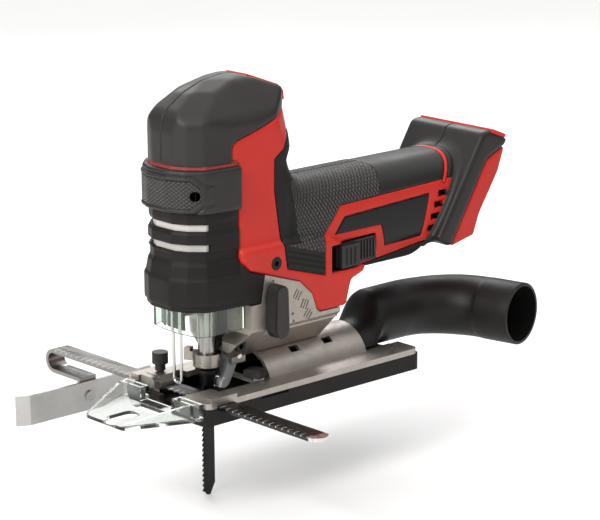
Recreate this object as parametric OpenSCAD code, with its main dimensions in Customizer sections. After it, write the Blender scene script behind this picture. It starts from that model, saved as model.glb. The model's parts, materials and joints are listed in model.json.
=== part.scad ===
// Cordless barrel-grip jigsaw, in millimetres.
// The blade's axis is Z and crosses the sole plane z = 0 at the origin.
// The front of the tool faces -X, +Y is its right-hand side, +Z is up.

/* [Sole] */
// Distance from the blade to the sole's front edge
sole_front = 31; // [30:0.5:32]
// Distance from the blade to the sole's rear edge
sole_rear = 134.5; // [132:0.5:137]
// Half of the sole's width
sole_half_w = 35.3; // [34.5:0.1:36]
// Height of the shoe's side walls
shoe_h = 9.6; // [9.4:0.1:9.8]
// Height of the base plate's top face
plate_top = 13; // [12.8:0.1:13]

/* [Bevel] */
// Height of the bevel axis above the sole
bevel_z = 6; // [5.8:0.1:6]
// Radius of the half-round saddle
saddle_r = 21.5; // [21.3:0.1:21.5]

/* [Blade] */
// Length of the whole blade
blade_l = 100; // [98:1:102]
// Width of the blade
blade_w = 8; // [7.6:0.1:8]
// Thickness of the blade
blade_t = 1.3; // [1.2:0.1:1.5]
// Stroke of the plunger
stroke = 26; // [24:1:26]

/* [Drive] */
// Module of the gear teeth
gear_module = 0.8; // [0.78:0.01:0.8]
// Teeth on the pinion
pinion_teeth = 10; // [10:1:10]
// Teeth on the drive gear
gear_teeth = 50; // [50:1:50]

/* [Fence] */
// Length of the fence bar's upper leg, from tip to bend
bar_near = 115; // [105:1:120]
// Length of the fence plate
fence_l = 92; // [80:1:100]

/* [Dust tube] */
// Outer radius of the tube's open end
tube_r = 18.7; // [18:0.1:18.7]
// Wall of the tube
tube_wall = 1.7; // [1.5:0.1:2]

/* [Hidden] */
$fn = 48;
slip = 0.3;      // clearance between curved faces that move past each other
run_fit = 0.05;  // radial clearance of a shaft in its bore
far = 400;       // reach of the half-space cutters

// ---------- helpers ----------

// Extrudes an XZ outline along Y, a YZ outline along X, or an XY outline along Z.
module along_y(y0, y1) {
  translate([0, y1, 0]) rotate([90, 0, 0]) linear_extrude(y1 - y0) children();
}
module along_x(x0, x1) {
  translate([x0, 0, 0]) rotate([90, 0, 90]) linear_extrude(x1 - x0) children();
}
module along_z(z0, z1) {
  translate([0, 0, z0]) linear_extrude(z1 - z0) children();
}
module rod_x(x0, x1, r) {
  translate([x0, 0, 0]) rotate([0, 90, 0]) cylinder(h = x1 - x0, r = r);
}
module rod_y(y0, y1, r) {
  translate([0, y0, 0]) rotate([-90, 0, 0]) cylinder(h = y1 - y0, r = r);
}
module block(low, high) {
  translate(low) cube(high - low);
}
// Keeps the half of its children on one side of the centre plane: -1 is left, 1 is right.
module half(side) {
  intersection() {
    children();
    block([-far, side < 0 ? -far : 0, -far], [far, side < 0 ? 0 : far, far]);
  }
}
// Closes one flank's points into a symmetric outline; flank points run from front to rear, y <= 0.
function both_flanks(p) =
  concat(p, [for (i = [len(p) - 1:-1:0]) [p[i][0], -p[i][1]]]);
function mirrored(p) =
  concat(p, [for (i = [len(p) - 1:-1:0]) [-p[i][0], p[i][1]]]);

// ---------- head ----------
head_bottom = 61;
ring_bottom = 116;
ring_top = 140.6;
cap_bottom = 142;
panel_x = 3;         // front edge of the red side panels
cover_proud = 3.2;   // how far the ring and the lower cover stand proud of the cap
wall = 2.6;          // wall of the moulded shells

// Plan of the head, d outside the cap's own plan.
function head_plan(d, rear = 50) = both_flanks([
  [-30.8 - d, -8], [-26.8 - 0.95 * d, -16.5 - 0.4 * d], [-19.3 - 0.6 * d, -23.8 - 0.75 * d],
  [-2, -25.5 - d], [rear, -25.5 - d]]);
// The same plan with its rounded rear end, d inside; reach moves the rear end back.
head_rear = [[20, -25.5], [33, -23.8], [41.3, -18.4], [47.1, -12.4], [50.5, -5]];
function whole_plan(d, reach) = both_flanks(concat(
  [[-30.8 + d, -8], [-26.8 + 0.95 * d, -16.5 + 0.4 * d], [-19.3 + 0.6 * d, -23.8 + 0.75 * d], [-2, -25.5 + d]],
  [for (p = head_rear) [p[0] + reach - d, p[1] * (1 - d / 25.5)]]));
// Side view of the cap, d inside its outer face.
function cap_side(d) = [
  [-31 + d, 120], [-30.4 + d, 160], [-29 + d, 167 - d / 2], [-26.4 + d, 171.6 - d], [-15, 179.2 - d],
  [0, 185 - d], [13, 186.6 - d], [21.5, 186.2 - d], [46.6, 176.8 - d], [50.3 - d, 173 - d],
  [51.5 - d, 164], [51.5 - d, 120]];
// Front view of the cap, d inside its outer face.
function cap_front(d) = mirrored([
  [-27 + d, 120], [-27 + d, 160], [-23.4 + d, 167.5 - d / 2], [-12.5, 184.2 - d], [-6, 187 - d]]);
// Area of the side view above the joint between cap and shell.
cap_area = [[-60, cap_bottom], [-1.4, cap_bottom], [-1.4, 151], [2, 154], [29, 161.5], [43, 167.2],
            [80, 167.2], [80, 200], [-60, 200]];

// Section square to the head's slanted front facets, d inside the outer face.
function corner_side(d) = [
  [-38, 100], [-38, 150], [-30.6 + d, 163], [-29.8 + d, 166.2 - d / 3], [-26.4 + d, 170.6 - d / 2], [-14, 180 - d],
  [0, 185.1 - d], [12, 187.6 - d], [80, 200], [80, 100]];
corner_turn = 45.8;
module corner_slope(side, d) {
  rotate([0, 0, side * corner_turn]) along_y(-80, 80) polygon(corner_side(d));
}
module cap_form(d) {
  intersection() {
    corner_slope(-1, d);
    corner_slope(1, d);
    along_y(-40, 40) polygon(cap_side(d));
    along_x(-60, 80) polygon(cap_front(d));
    along_z(100, 200) polygon(whole_plan(d, 0));
  }
}
module cap_shell() {
  difference() {
    intersection() {
      cap_form(0);
      along_y(-40, 40) polygon(cap_area);
    }
    cap_form(wall);
    strip_space();
  }
}
// The red strip lies on the rear slope of the cap's roof.
strip_side = [[24, 184.3], [24, 186.2], [46.9, 177.6], [51, 173.5], [51.6, 168.4], [50, 168.4],
              [49.4, 172.6], [45.9, 176]];
strip_half_w = 9;
module strip_space() {
  along_y(-strip_half_w, strip_half_w) polygon(strip_side);
}
module cap_strip() { color("firebrick") strip_space(); }
module cap_left() { color([0.16, 0.16, 0.17]) half(-1) cap_shell(); }
module cap_right() { color([0.16, 0.16, 0.17]) half(1) cap_shell(); }

// A band of the head's wall between two heights, cut off at the panels.
module head_band(z0, z1, outside, inside, rear = panel_x) {
  difference() {
    along_z(z0, z1) polygon(head_plan(outside, rear));
    along_z(z0 - 1, z1 + 1) polygon(head_plan(inside, rear + 10));
  }
}
key_hole_r = 2.9;
key_hole_at = [-24.6, -21.4, 126.6];
// Holes for the ring's screws, square to the slanted facet.
module key_holes(r, depth) {
  for (side = [1, -1]) mirror([0, side < 0 ? 1 : 0, 0])
    translate(key_hole_at) rotate([0, 0, 42]) translate([depth, 0, 0]) rod_x(-30, 0, r);
}
module grip_ring() {
  color([0.13, 0.13, 0.14]) difference() {
    union() {
      head_band(ring_bottom, ring_top, cover_proud, 0);
      head_band(ring_top - 0.1, ring_top + 0.6, 1, 0);
    }
    key_holes(key_hole_r, 2.5);
  }
}
pad_proud = 0.9;
module ring_pad() {
  color([0.22, 0.22, 0.23]) difference() {
    intersection() {
      head_band(ring_bottom + 2.4, ring_top - 4.6, cover_proud + pad_proud, cover_proud);
      along_x(-60, -17.5) polygon(mirrored([[-20.9, 135], [-24.6, 130.9], [-24.6, 123.4], [-20.9, 119.3]]));
    }
    key_holes(key_hole_r, 2.5);
  }
}

// Lower cover: a waist with two slots, then a skirt that flares out above the bottom edge.
slots = [[106.2, 109.9], [94.9, 98.9]];
waist_out = -0.4;  // the waist's outer and inner faces, measured from the cap's plan
waist_in = -2.6;
module head_cover() {
  color([0.13, 0.13, 0.14]) difference() {
    union() {
      head_band(110.6, ring_bottom, waist_out + 0.4, waist_in);
      head_band(89, 110.8, waist_out, waist_in);
      head_band(100.6, 104.4, waist_out + 1, waist_in);
      head_band(85, 89.2, 1, waist_in);
      head_band(80, 85.2, 2.2, waist_in);
      head_band(head_bottom + 3, 80.2, cover_proud, 0);
      head_band(head_bottom, head_bottom + 3.2, 1.8, 0);
      cover_flank();
      cover_floor();
      cover_lip();
    }
    for (s = slots) along_z(s[0], s[1]) polygon([[-60, -17.6], [-17.6, -17.6], [-14.8, -30], [-60, -30],
      [-60, 30], [-14.8, 30], [-17.6, 17.6], [-60, 17.6]]);
    for (s = slots) block([-60, -19.5, s[0]], [-17.6, 19.5, s[1]]);
  }
}
// The cover's side tails run back under the red panels.
module cover_flank() {
  for (side = [-1, 1]) along_y(side < 0 ? -28.7 : 25.7, side < 0 ? -25.7 : 28.7)
    polygon([[panel_x, 86], [8.3, 79.8], [19.3, 76.2], [16.3, 60.2], [panel_x, head_bottom]]);
}
module cover_floor() {
  difference() {
    along_z(head_bottom, head_bottom + 2.4) polygon(head_plan(0, 5));
    translate([0, 0, head_bottom - 1]) cylinder(h = 5, r = 8.6);
    block([-1, -8.6, head_bottom - 1], [6, 8.6, head_bottom + 4]);
    wire_legs(guard_r);
    led_form();
  }
}
// Opaque lip behind the clear shield, round the front and far side of the collar's bay.
module cover_lip() {
  along_z(46.6, head_bottom + 1) polygon([[-19.8, -5], [-19.8, 12], [-17.2, 17.4], [-14.4, 19.6], [8.6, 19.6],
    [8.6, 18.4], [-13.9, 18.4], [-16.2, 16.6], [-18.6, 11.7], [-18.6, -5]]);
}
module slot_liner() {
  color("lightgray") intersection() {
    head_band(92, 111, waist_in, waist_in - 1.5);
    block([-60, -60, 90], [-9, 60, 112]);
  }
}

// ---------- barrel, skirt and shells ----------
barrel_mid_z = 91.5;
barrel_half_h = 30.5;
barrel_half_w = 24.6;
squareness = 0.72;  // 1 would be an ellipse, 0 a rectangle
lean = 32.2;        // how far the battery foot leans back
foot_base = [152.8, 73.5];
foot_half_w = 31;
skirt_half_w = 28.5;

function oval(w, h, mid) = [for (i = [0:35]) let (a = i * 10)
  [w * sign(cos(a)) * pow(abs(cos(a)), squareness), mid + h * sign(sin(a)) * pow(abs(sin(a)), squareness)]];
// Places its children in the foot's leaning frame: x away from the grip, z up the foot.
module leaning() {
  translate([foot_base[0], 0, foot_base[1]]) rotate([0, lean, 0]) children();
}
module barrel_form(d) {
  difference() {
    along_x(46, 200) polygon(oval(barrel_half_w - d, barrel_half_h - d, barrel_mid_z));
    leaning() block([0, -60, -60], [90, 60, 150]);
  }
}
function head_side(d) = [
  [panel_x, cap_bottom], [-1.4, cap_bottom], [-1.4, 151], [2, 154], [29, 161.5], [43, 167.2], [60, 167.2],
  [60, 124 - d], [64, 121 - d], [64, 74], [panel_x, 84]];
module head_form(d) {
  intersection() {
    along_z(60, 180) polygon(whole_plan(d, 3.2));
    along_y(-40, 40) polygon(head_side(d));
  }
}
// Side view of the skirt over the gear housing, its top lowered by d.
function skirt_side(d) = [
  [panel_x, 92 - d], [panel_x, 86], [8.3, 79.8], [19.3, 76.2], [45.4, 67.5], [54.5, 58.8],
  [58, 49.2], [60.5, 47], [81.3 - d, 47], [85.5 - d, 61.5 + d], [96 - d, 65 + d], [97 - d, 73 - d], [72, 88 - d],
  [40, 92 - d]];
module skirt_form(d) {
  along_y(-skirt_half_w + d, skirt_half_w - d) polygon(skirt_side(d));
}
// Side view of the red part of the wall; the soft grip and the sleeve fill the rest.
red_area = [[-2, cap_bottom], [-2, 151.2], [2, 154.2], [29, 161.7], [43, 167.4], [62, 167.4], [62, 156], [47, 152.6],
            [29.7, 139.7], [29.2, 122.5], [36, 76.6], [64.9, 67.9], [64.7, 87.6], [80.6, 105.1],
            [112.6, 106], [200, 108.5], [200, 74], [146, 72], [113, 67], [97.5, 64], [85.5, 60], [84, 40], [-2, 40]];
sleeve_area = [[119, 130], [112.6, 106], [200, 108.5], [200, 130]];
name_plate_area = [[75.5, 88.6], [83.5, 98.4], [152.3, 101.2], [146, 76], [116.7, 75], [112.5, 88.6]];
switch_pocket = [[70, 67.8], [70, 83.6], [108, 84.6], [110.5, 69.2]];
vent_slots = [[163, 99.5], [159.6, 93.2], [156.8, 86.4], [154.6, 79.6]];

module shell_outer() {
  head_form(0);
  barrel_form(0);
  skirt_form(0);
}
module shell_inner() {
  head_form(wall);
  barrel_form(wall);
  skirt_form(wall);
  block([47, -21.6, 66], [66, 21.6, 108]);
  cap_form(wall);
}
module shell_wall() {
  difference() {
    union() shell_outer();
    union() shell_inner();
    // open towards the head's front, the gear housing and the foot
    block([-40, -22.9, 50], [10, 22.9, 164]);
    block([5, -20, 40], [84, 20, 67]);
    leaning() block([-4, -18, 8], [20, 18, 52]);
    gear_space();
    along_y(-40, -barrel_half_w + 3.4) polygon(switch_pocket);
    for (side = [-1, 1]) for (v = vent_slots)
      translate([v[0], side * 22, v[1]]) cube([7, 16, 3.6], center = true);
    screw_space();
    foot_ring_form();
    name_plate_form(-1, 1.2);
  }
}
module name_plate_form(outside, inside) {
  difference() {
    intersection() {
      barrel_form(outside);
      along_y(-40, 40) polygon(name_plate_area);
    }
    barrel_form(inside);
  }
}
module shell_half(side) {
  color("firebrick") half(side) intersection() {
    shell_wall();
    along_y(-60, 60) polygon(red_area);
  }
}
module shell_left() { shell_half(-1); }
module shell_right() { shell_half(1); }
module soft_half(side) {
  color([0.1, 0.1, 0.11]) half(side) difference() {
    shell_wall();
    along_y(-60, 60) polygon(red_area);
    along_y(-60, 60) polygon(sleeve_area);
  }
}
module grip_left() { soft_half(-1); }
module grip_right() { soft_half(1); }
module rear_sleeve() {
  color([0.18, 0.18, 0.19]) intersection() {
    shell_wall();
    along_y(-60, 60) polygon(sleeve_area);
  }
}
module plate_left() { color("black") half(-1) name_plate_form(0.4, 1.2); }
module plate_right() { color("black") half(1) name_plate_form(0.4, 1.2); }

// ---------- battery foot ----------
foot_side = [[0.2, 0], [0.2, 69.8], [5, 74], [21.5, 77], [22, 72], [12.2, 57.6], [12.9, 0.8]];
rail_side = [[12.9, 1], [12.3, 57.4], [22.2, 71.9], [21.7, 77.1], [8, 74.75], [8, 75.8], [22.5, 78.2], [23, 71.7],
             [25.2, 56], [24.5, 28], [27, 14.7]];
foot_cavity = [[2.8, 5], [2.8, 66], [10, 66], [10, 5]];
module foot_half(side) {
  color([0.16, 0.16, 0.17]) half(side) leaning() difference() {
    along_y(-foot_half_w, foot_half_w) polygon(foot_side);
    along_y(-foot_half_w + wall, foot_half_w - wall) polygon(foot_cavity);
    block([-5, -16, 9], [6, 16, 50]);
    block([6, -14, 18], [16, 14, 40]);
  }
}
module foot_left() { foot_half(-1); }
module foot_right() { foot_half(1); }
module foot_ring_form() {
  difference() {
    intersection() {
      barrel_form(0);
      leaning() block([-8.5, -60, 25], [-5.5, 60, 80]);
    }
    barrel_form(1.3);
  }
}
module foot_ring() { color("firebrick") foot_ring_form(); }
slot_half_w = 21;
groove_half_w = 24.5;
module rail_frame() {
  color("firebrick") leaning() difference() {
    along_y(-foot_half_w + 0.6, foot_half_w - 0.6) polygon(rail_side);
    block([15.4, -slot_half_w, -5], [40, slot_half_w, 52]);
    block([15.4, -groove_half_w, -5], [19.6, groove_half_w, 52]);
    block([10, -14, 18], [16, 14, 40]);
  }
}
module contact_block() {
  color([0.12, 0.12, 0.12]) leaning() difference() {
    union() {
      block([10.2, -13.8, 18.2], [16, 13.8, 39.8]);
      block([15.5, -12, 22], [18, 12, 36]);
    }
    contacts();
  }
}
contact_y = [-8, -3, 3, 8];
module contacts() {
  for (y = contact_y) block([11.5, y - 0.5, 24], [19.2, y + 0.5, 34]);
}
module battery_contacts() { color("gold") leaning() contacts(); }

// ---------- gear housing ----------
axis_z = 98;                                            // motor axis
gear_z = axis_z + gear_module * (pinion_teeth + gear_teeth) / 2;
gear_x = [12, 18];
frame_x = [22, 28];
stud_r = 4;
lug_y = [6.6, 9.2];
fork_axis = [16, 26];

// Space that the gear housing takes inside the shells.
module gear_space() {
  block([7, -25.95, 40], [62, 25.95, 82]);
  block([61, -25.95, 40], [84.6, 25.95, 74.2]);
}
housing_end = 76.4;
housing_front = [[9.2, 84], [9.2, 42.7], [4.9, 36.5], [4.9, 31], [10.5, 25.4], [housing_end, 25.4], [housing_end, 66]];
housing_low = mirrored([[-28, 80], [-28, 44.6], [-9.2, 25.9]]);
module housing_outer() {
  union() {
    // outside, below the red skirt
    difference() {
      intersection() {
        along_y(-40, 40) polygon(housing_front);
        along_x(0, 100) polygon(housing_low);
      }
      along_y(-40, 40) polygon([[-10, 200], [-10, 86], [3, 86], [8.3, 79.8], [19.3, 76.2], [45.4, 67.5],
        [54.5, 58.8], [58, 49.2], [60.5, 47], [81.3, 47], [90, 47], [90, 200]]);
      along_y(-41, 41) polygon([[-5, 60.1], [16.4, 60.1], [19.5, 76.6], [19.5, 100], [-5, 100]]);
    }
    // inside the shells
    intersection() {
      along_y(-40, 40) polygon([[20.4, 40], [20.4, 74], [66, 74], [68.5, 67.5], [84, 67.5], [84, 47.4],
        [housing_end, 47.4], [housing_end, 40]]);
      along_x(0, 100) polygon(mirrored([[-25.4, 73], [-25.4, 41]]));
    }
  }
}
module gear_housing() {
  color([0.72, 0.7, 0.68]) difference() {
    union() {
      housing_outer();
      block([frame_x[0], -21, 66], [frame_x[1], 21, 158]);        // frame for the gear
      block([-7.5, -9, 150], [frame_x[0] + 1, 9, 158]);           // arm of the upper bush
      block([-7.5, -9, 64], [frame_x[0] + 1, 9, 72]);             // arm of the lower bush
      translate([frame_x[0] + 0.5, 0, gear_z]) rod_x(-10.9, 0, stud_r);
      for (side = [-1, 1])
        block([10.5, side < 0 ? -lug_y[1] : lug_y[0], 22], [20.5, side < 0 ? -lug_y[0] : lug_y[1], 34]);
    }
    // saddle's concave seat
    translate([0, 0, bevel_z]) rod_x(23, 100, saddle_r + slip);
    // inside: gear bay, cavity of the lower part, fork bay
    block([30, -22.5, 48], [82, 22.5, 80]);
    block([-2, -6.4, 20], [21, 6.4, 62]);
    translate([0, 0, collar_z[0] - 2]) cylinder(h = 42, r = collar_r + 2 * slip);
    // bores
    translate([0, 0, 40]) cylinder(h = 130, r = bush_r);
    translate([0, 0, axis_z]) rod_x(frame_x[0] - 1, frame_x[1] + 1, front_bearing_r);
    translate([fork_axis[0], 0, fork_axis[1]]) rod_y(-20, 20, pin_r);
    translate([lever_axis[0], 0, lever_axis[1]]) rod_y(-40, -10, lever_shaft_r + run_fit);
    housing_screw_space();
    // engraved marks of the lever's positions
    for (m = lever_marks) translate([m[0], -28, m[1]]) rotate([0, m[2], 0])
      for (k = [-1:1]) translate([k * 2, 0, 0]) cube([0.8, 1.4, 5.4], center = true);
    for (m = lever_dots) translate([m[0], 0, m[1]]) rod_y(-28.6, -27.3, 0.9);
  }
}
lever_marks = [[43.4, 60.4, 33], [48.8, 54, 25], [51.4, 47.6, 42]];
lever_dots = [[25, 71.4], [39.7, 50], [40.3, 45.6]];
housing_screw_at = [8.9, 35];
module housing_screw_space() {
  translate([housing_screw_at[0], 0, housing_screw_at[1]]) rod_y(-21.5, -10, 2);
  translate([housing_screw_at[0], 0, housing_screw_at[1]]) rod_y(-24, -16, 3.2);
}
module screw_socket(depth) {
  // six-sided driver socket, mouth at y = 0 and open towards -Y
  rotate([90, 0, 0]) translate([0, 0, -depth]) cylinder(h = depth + 1, r = 1.7, $fn = 6);
}
module housing_screws() {
  color([0.08, 0.08, 0.08]) translate([housing_screw_at[0], 0, housing_screw_at[1]]) difference() {
    union() {
      rod_y(-19.2, -16, 3.2);
      rod_y(-17, -10.2, 2);
    }
    translate([0, -19.2, 0]) screw_socket(2);
  }
}
shell_screw_at = [27.8, 81.2];
shell_screw_r = 3.6;
module screw_space() {
  translate([shell_screw_at[0], 0, shell_screw_at[1]]) {
    rod_y(-30, -27, shell_screw_r);
    rod_y(-28, -20, 1.9);
  }
}
module shell_screws() {
  color([0.1, 0.1, 0.1]) {
    translate([shell_screw_at[0], 0, shell_screw_at[1]]) difference() {
      union() {
        rod_y(-28.3, -27, shell_screw_r);
        rod_y(-27.5, -21.3, 1.9);
      }
      translate([0, -28.3, 0]) screw_socket(1.4);
    }
  }
}

// ---------- shield, guard, lamp ----------
shield_flank = [[-24.3, -6], [-22, -19.5], [-16, -22], [8.5, -22]];
shield_inner = [[-22.6, -5.6], [-20.6, -18.2], [-15.5, -20.4], [9.5, -20.4]];
module chip_shield() {
  color([0.8, 0.9, 0.85, 0.4]) difference() {
    along_z(46, head_bottom - 0.1) polygon(both_flanks(shield_flank));
    along_z(45, 63) polygon(both_flanks(shield_inner));
  }
}
guard_r = 0.9;
guard_x = -21.4;
guard_half_w = 3.2;
guard_z = 19;         // centre of the guard's lower bend
module wire_legs(r) {
  for (side = [-1, 1]) translate([guard_x, side * guard_half_w, guard_z])
    cylinder(h = 48, r = r);
}
module wire_guard() {
  color("silver") {
    wire_legs(guard_r);
    translate([guard_x, 0, guard_z]) rotate([0, 90, 0]) intersection() {
      rotate_extrude() translate([guard_half_w, 0]) circle(r = guard_r);
      block([0, -10, -2], [10, 10, 2]);
    }
  }
}
led_at = [-13, 13];
module led_form() {
  translate([led_at[0], led_at[1], head_bottom - 1.2]) cylinder(h = 5, r = 2.6);
}
module led_lens() { color([0.95, 0.95, 0.85]) led_form(); }

// ---------- electrics inside ----------
module switch_module() {
  color([0.2, 0.2, 0.22]) block([93, -15, 69.4], [108, -3, 79]);
}
module control_board() {
  color("darkgreen") {
    block([122, -17, 77], [147, 17, 78.6]);
    block([126, -10, 78.6], [140, 8, 84]);
  }
}
motor_r = 19.6;
core_r = 10.5;
module stator() {
  color([0.35, 0.35, 0.38]) translate([0, 0, axis_z]) difference() {
    rod_x(66, 92, motor_r);
    rod_x(65, 93, 16.2);
  }
}
module windings() {
  color([0.72, 0.4, 0.2]) translate([0, 0, axis_z]) for (i = [0:5]) rotate([i * 60, 0, 0]) difference() {
    block([63, -5.2, core_r + 0.7], [95, 5.2, 15.3]);
    rod_x(62, 96, core_r + 0.6);
  }
}
shaft_r = 2.5;
front_bearing_r = 8;
module motor_bearings() {
  color("silver") translate([0, 0, axis_z]) {
    difference() {
      rod_x(frame_x[0] + 0.5, frame_x[1] - 0.5, front_bearing_r);
      rod_x(20, 30, shaft_r + run_fit);
    }
    difference() {
      rod_x(104, 109, 6.5);
      rod_x(100, 112, shaft_r + run_fit);
    }
  }
}
// Involute gear outline with slim teeth, so that a pair meshes with backlash.
pressure = 25;
function inv(a) = tan(a) * 180 / PI - a;
function tooth_half(m, n, r, slim) =
  let (rp = m * n / 2, rb = rp * cos(pressure), a = r > rb ? acos(rb / r) : 0)
  90 / n - slim / rp * 180 / PI + inv(pressure) - inv(a);
function gear_outline(m, n, slim) =
  let (rp = m * n / 2, ra = rp + 0.75 * m, rb = rp * cos(pressure), rf = rp - 1.05 * m,
       r0 = max(rb, rf + 0.05), radii = [rf, r0, (r0 + rp) / 2, rp, (rp + ra) / 2, ra])
  [for (i = [0:n - 1]) each concat(
    [for (k = [0:5]) let (a = i * 360 / n - tooth_half(m, n, max(radii[k], r0), slim)) radii[k] * [cos(a), sin(a)]],
    [for (k = [5:-1:0]) let (a = i * 360 / n + tooth_half(m, n, max(radii[k], r0), slim)) radii[k] * [cos(a), sin(a)]])];
module gear_solid(n, x0, x1, turn) {
  translate([x0, 0, 0]) rotate([0, 90, 0]) rotate([0, 0, turn])
    linear_extrude(x1 - x0) polygon(gear_outline(gear_module, n, 0.05));
}
module rotor_shaft() {
  color("silver") translate([0, 0, axis_z]) {
    rod_x(gear_x[1] + 0.3, 113, shaft_r);
    // the pinion's gap faces up, where a tooth of the drive gear comes down
    gear_solid(pinion_teeth, gear_x[0] - 0.3, gear_x[1] + 0.4, 180 / pinion_teeth);
  }
}
module rotor_core() {
  color([0.45, 0.45, 0.48]) translate([0, 0, axis_z]) difference() {
    rod_x(66, 92, core_r);
    rod_x(60, 100, shaft_r);
  }
}
module cooling_fan() {
  color([0.2, 0.2, 0.2]) translate([0, 0, axis_z]) difference() {
    union() {
      rod_x(52, 60, 5.5);
      rod_x(52, 53.5, 16);
      for (i = [0:8]) rotate([i * 40, 0, 0]) block([53, 4.5, -0.6], [60, 16, 0.6]);
    }
    rod_x(50, 62, shaft_r);
  }
}
crank_r = stroke / 2;
rest_lift = 3;                          // the plunger rests this far above its lowest point
crank_z = rest_lift - crank_r;          // height of the crank pin from the gear's axis
crank_y = sqrt(crank_r * crank_r - crank_z * crank_z);
module drive_gear() {
  color([0.6, 0.6, 0.62]) translate([0, 0, gear_z]) difference() {
    union() {
      gear_solid(gear_teeth, gear_x[0], gear_x[1], 0);
      translate([0, crank_y, crank_z]) rod_x(yoke_x[1] + slip, gear_x[0] + 1, 3);
      rod_x(gear_x[1] - 1, frame_x[0] - 0.3, 7);
    }
    rod_x(gear_x[0] - 5, frame_x[0] + 1, stud_r + run_fit);
  }
}
module counterweight() {
  color([0.5, 0.5, 0.52]) translate([0, 0, gear_z]) difference() {
    rod_x(gear_x[1], frame_x[0] - 0.4, 18);
    rod_x(gear_x[1] - 1, frame_x[0] + 1, 7);
    // only the side away from the crank pin stays
    rotate([atan2(crank_z, crank_y) - 90, 0, 0]) block([0, -30, -9], [40, 30, 40]);
  }
}

// ---------- plunger ----------
rod_r = 5.15;
bush_r = 7.4;
yoke_x = [5.6, 9];
module plunger_bushes() {
  color([0.75, 0.6, 0.3]) for (z = [[64, 72], [150, 158]]) translate([0, 0, z[0]]) difference() {
    cylinder(h = z[1] - z[0], r = bush_r);
    translate([0, 0, -1]) cylinder(h = 12, r = rod_r + run_fit);
  }
}
module plunger_rod() {
  color("silver") difference() {
    translate([0, 0, 29]) cylinder(h = 125, r = rod_r);
    translate([0, 0, 20]) block([-shank_w / 2, -blade_t / 2, 0], [shank_w / 2, blade_t / 2, 26]);
    block([3.6, -8, gear_z + crank_z - 8], [10, 8, gear_z + crank_z + 8]);
  }
}
module yoke() {
  color([0.55, 0.55, 0.58]) translate([0, 0, gear_z + crank_z]) difference() {
    union() {
      block([yoke_x[0], -20, -6.5], [yoke_x[1], 20, 6.5]);
      block([3.6, -6, -6.5], [yoke_x[0], 6, 6.5]);
    }
    block([yoke_x[0] - 0.4, -17, -3.3], [yoke_x[1] + 1, 17, 3.3]);
  }
}
collar_z = [22.2, 29.6];
collar_r = 8.2;
ear_turn = 28;  // direction of the collar's ear, from +Y towards the front
holder_z = [11, 29];
module blade_holder() {
  color([0.15, 0.15, 0.16]) difference() {
    union() {
      translate([0, 0, holder_z[0]]) cylinder(h = holder_z[1] - holder_z[0], r = 4.5);
      translate([0, 0, holder_z[0] + 6.9]) cylinder(h = 2.4, r = 7);
    }
    block([3.7, -9, holder_z[0] - 1], [9, 9, holder_z[0] + 6.7]);
    block([-blade_w / 2, -blade_t / 2, 0], [blade_w / 2, blade_t / 2, 20]);
    block([-shank_w / 2, -blade_t / 2, 0], [shank_w / 2, blade_t / 2, 40]);
  }
}
// The blade's teeth face the front; its tip is slanted.
blade_top = 45.3;
shank_w = blade_w - 1.6;
tooth_pitch = 3;
module saw_blade() {
  front = -blade_w / 2 - 0.5;
  tip = blade_top - blade_l;
  teeth = floor((20 - tip - 8) / tooth_pitch);
  color([0.12, 0.12, 0.13]) union() {
    along_y(-blade_t / 2, blade_t / 2) polygon([[-1.6, tip], [0.4, tip - 0.2], [blade_w / 2, tip + 6.5],
      [blade_w / 2, 20], [-blade_w / 2 + 1, 20], [-blade_w / 2 + 1, tip + 2]]);
    along_y(-blade_t / 2, blade_t / 2) polygon(concat(
      [[-blade_w / 2 + 1.5, tip + 2]],
      [for (i = [0:teeth - 1]) each [[front, tip + 2.4 + i * tooth_pitch],
                                     [front + 1.6, tip + 2.4 + (i + 0.9) * tooth_pitch]]],
      [[-blade_w / 2 + 1.5, tip + 3 + teeth * tooth_pitch]]));
    block([-shank_w / 2, -blade_t / 2, 19], [shank_w / 2, blade_t / 2, blade_top]);
  }
}
module release_collar() {
  color([0.62, 0.62, 0.64]) translate([0, 0, collar_z[0]]) difference() {
    union() {
      cylinder(h = collar_z[1] - collar_z[0], r = collar_r);
      rotate([0, 0, ear_turn]) {
        block([-2.6, 6.8, 2.4], [2.6, 13.2, 7.6]);
        block([-2.6, 9.4, 2.4], [2.6, 13.2, 9.4]);
      }
    }
    translate([0, 0, -1]) cylinder(h = 12, r = rod_r + run_fit);
  }
}

// ---------- pendulum fork ----------
pin_r = 1.7;
axle_r = 1.5;
roller_r = 3.4;
roller_at = [7.6, 11.2];
arm_y = [3, 5.4];
module fork_pin() {
  color("silver") translate([fork_axis[0], 0, fork_axis[1]]) rod_y(-lug_y[1] - 0.2, lug_y[1] + 0.2, pin_r);
}
module arm_outline() {
  // tapered arm from the pivot down to the roller's axle
  polygon([[12.6, 27.5], [14.5, 29.4], [18, 29.2], [19.4, 26], [18.6, 23.4], [11.4, 9.4], [8.4, 7.8], [5.4, 8.6],
           [4.9, 11.8], [7.4, 14.6]]);
}
module pendulum_fork() {
  color("silver") difference() {
    union() {
      for (y = [-arm_y[1], arm_y[0]]) along_y(y, y + arm_y[1] - arm_y[0]) arm_outline();
      along_y(-arm_y[1], arm_y[1]) polygon([[12.6, 17.4], [14.6, 21.4], [17.6, 21.4], [13.6, 13.6]]);
      translate([roller_at[0], 0, roller_at[1]]) {
        rod_y(-arm_y[1] - 1, arm_y[1] + 1, axle_r);
        for (y = [-arm_y[1] - 1, arm_y[1]]) rod_y(y, y + 1, 2.6);
      }
    }
    translate([fork_axis[0], 0, fork_axis[1]]) rod_y(-20, 20, pin_r + run_fit);
  }
}
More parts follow.
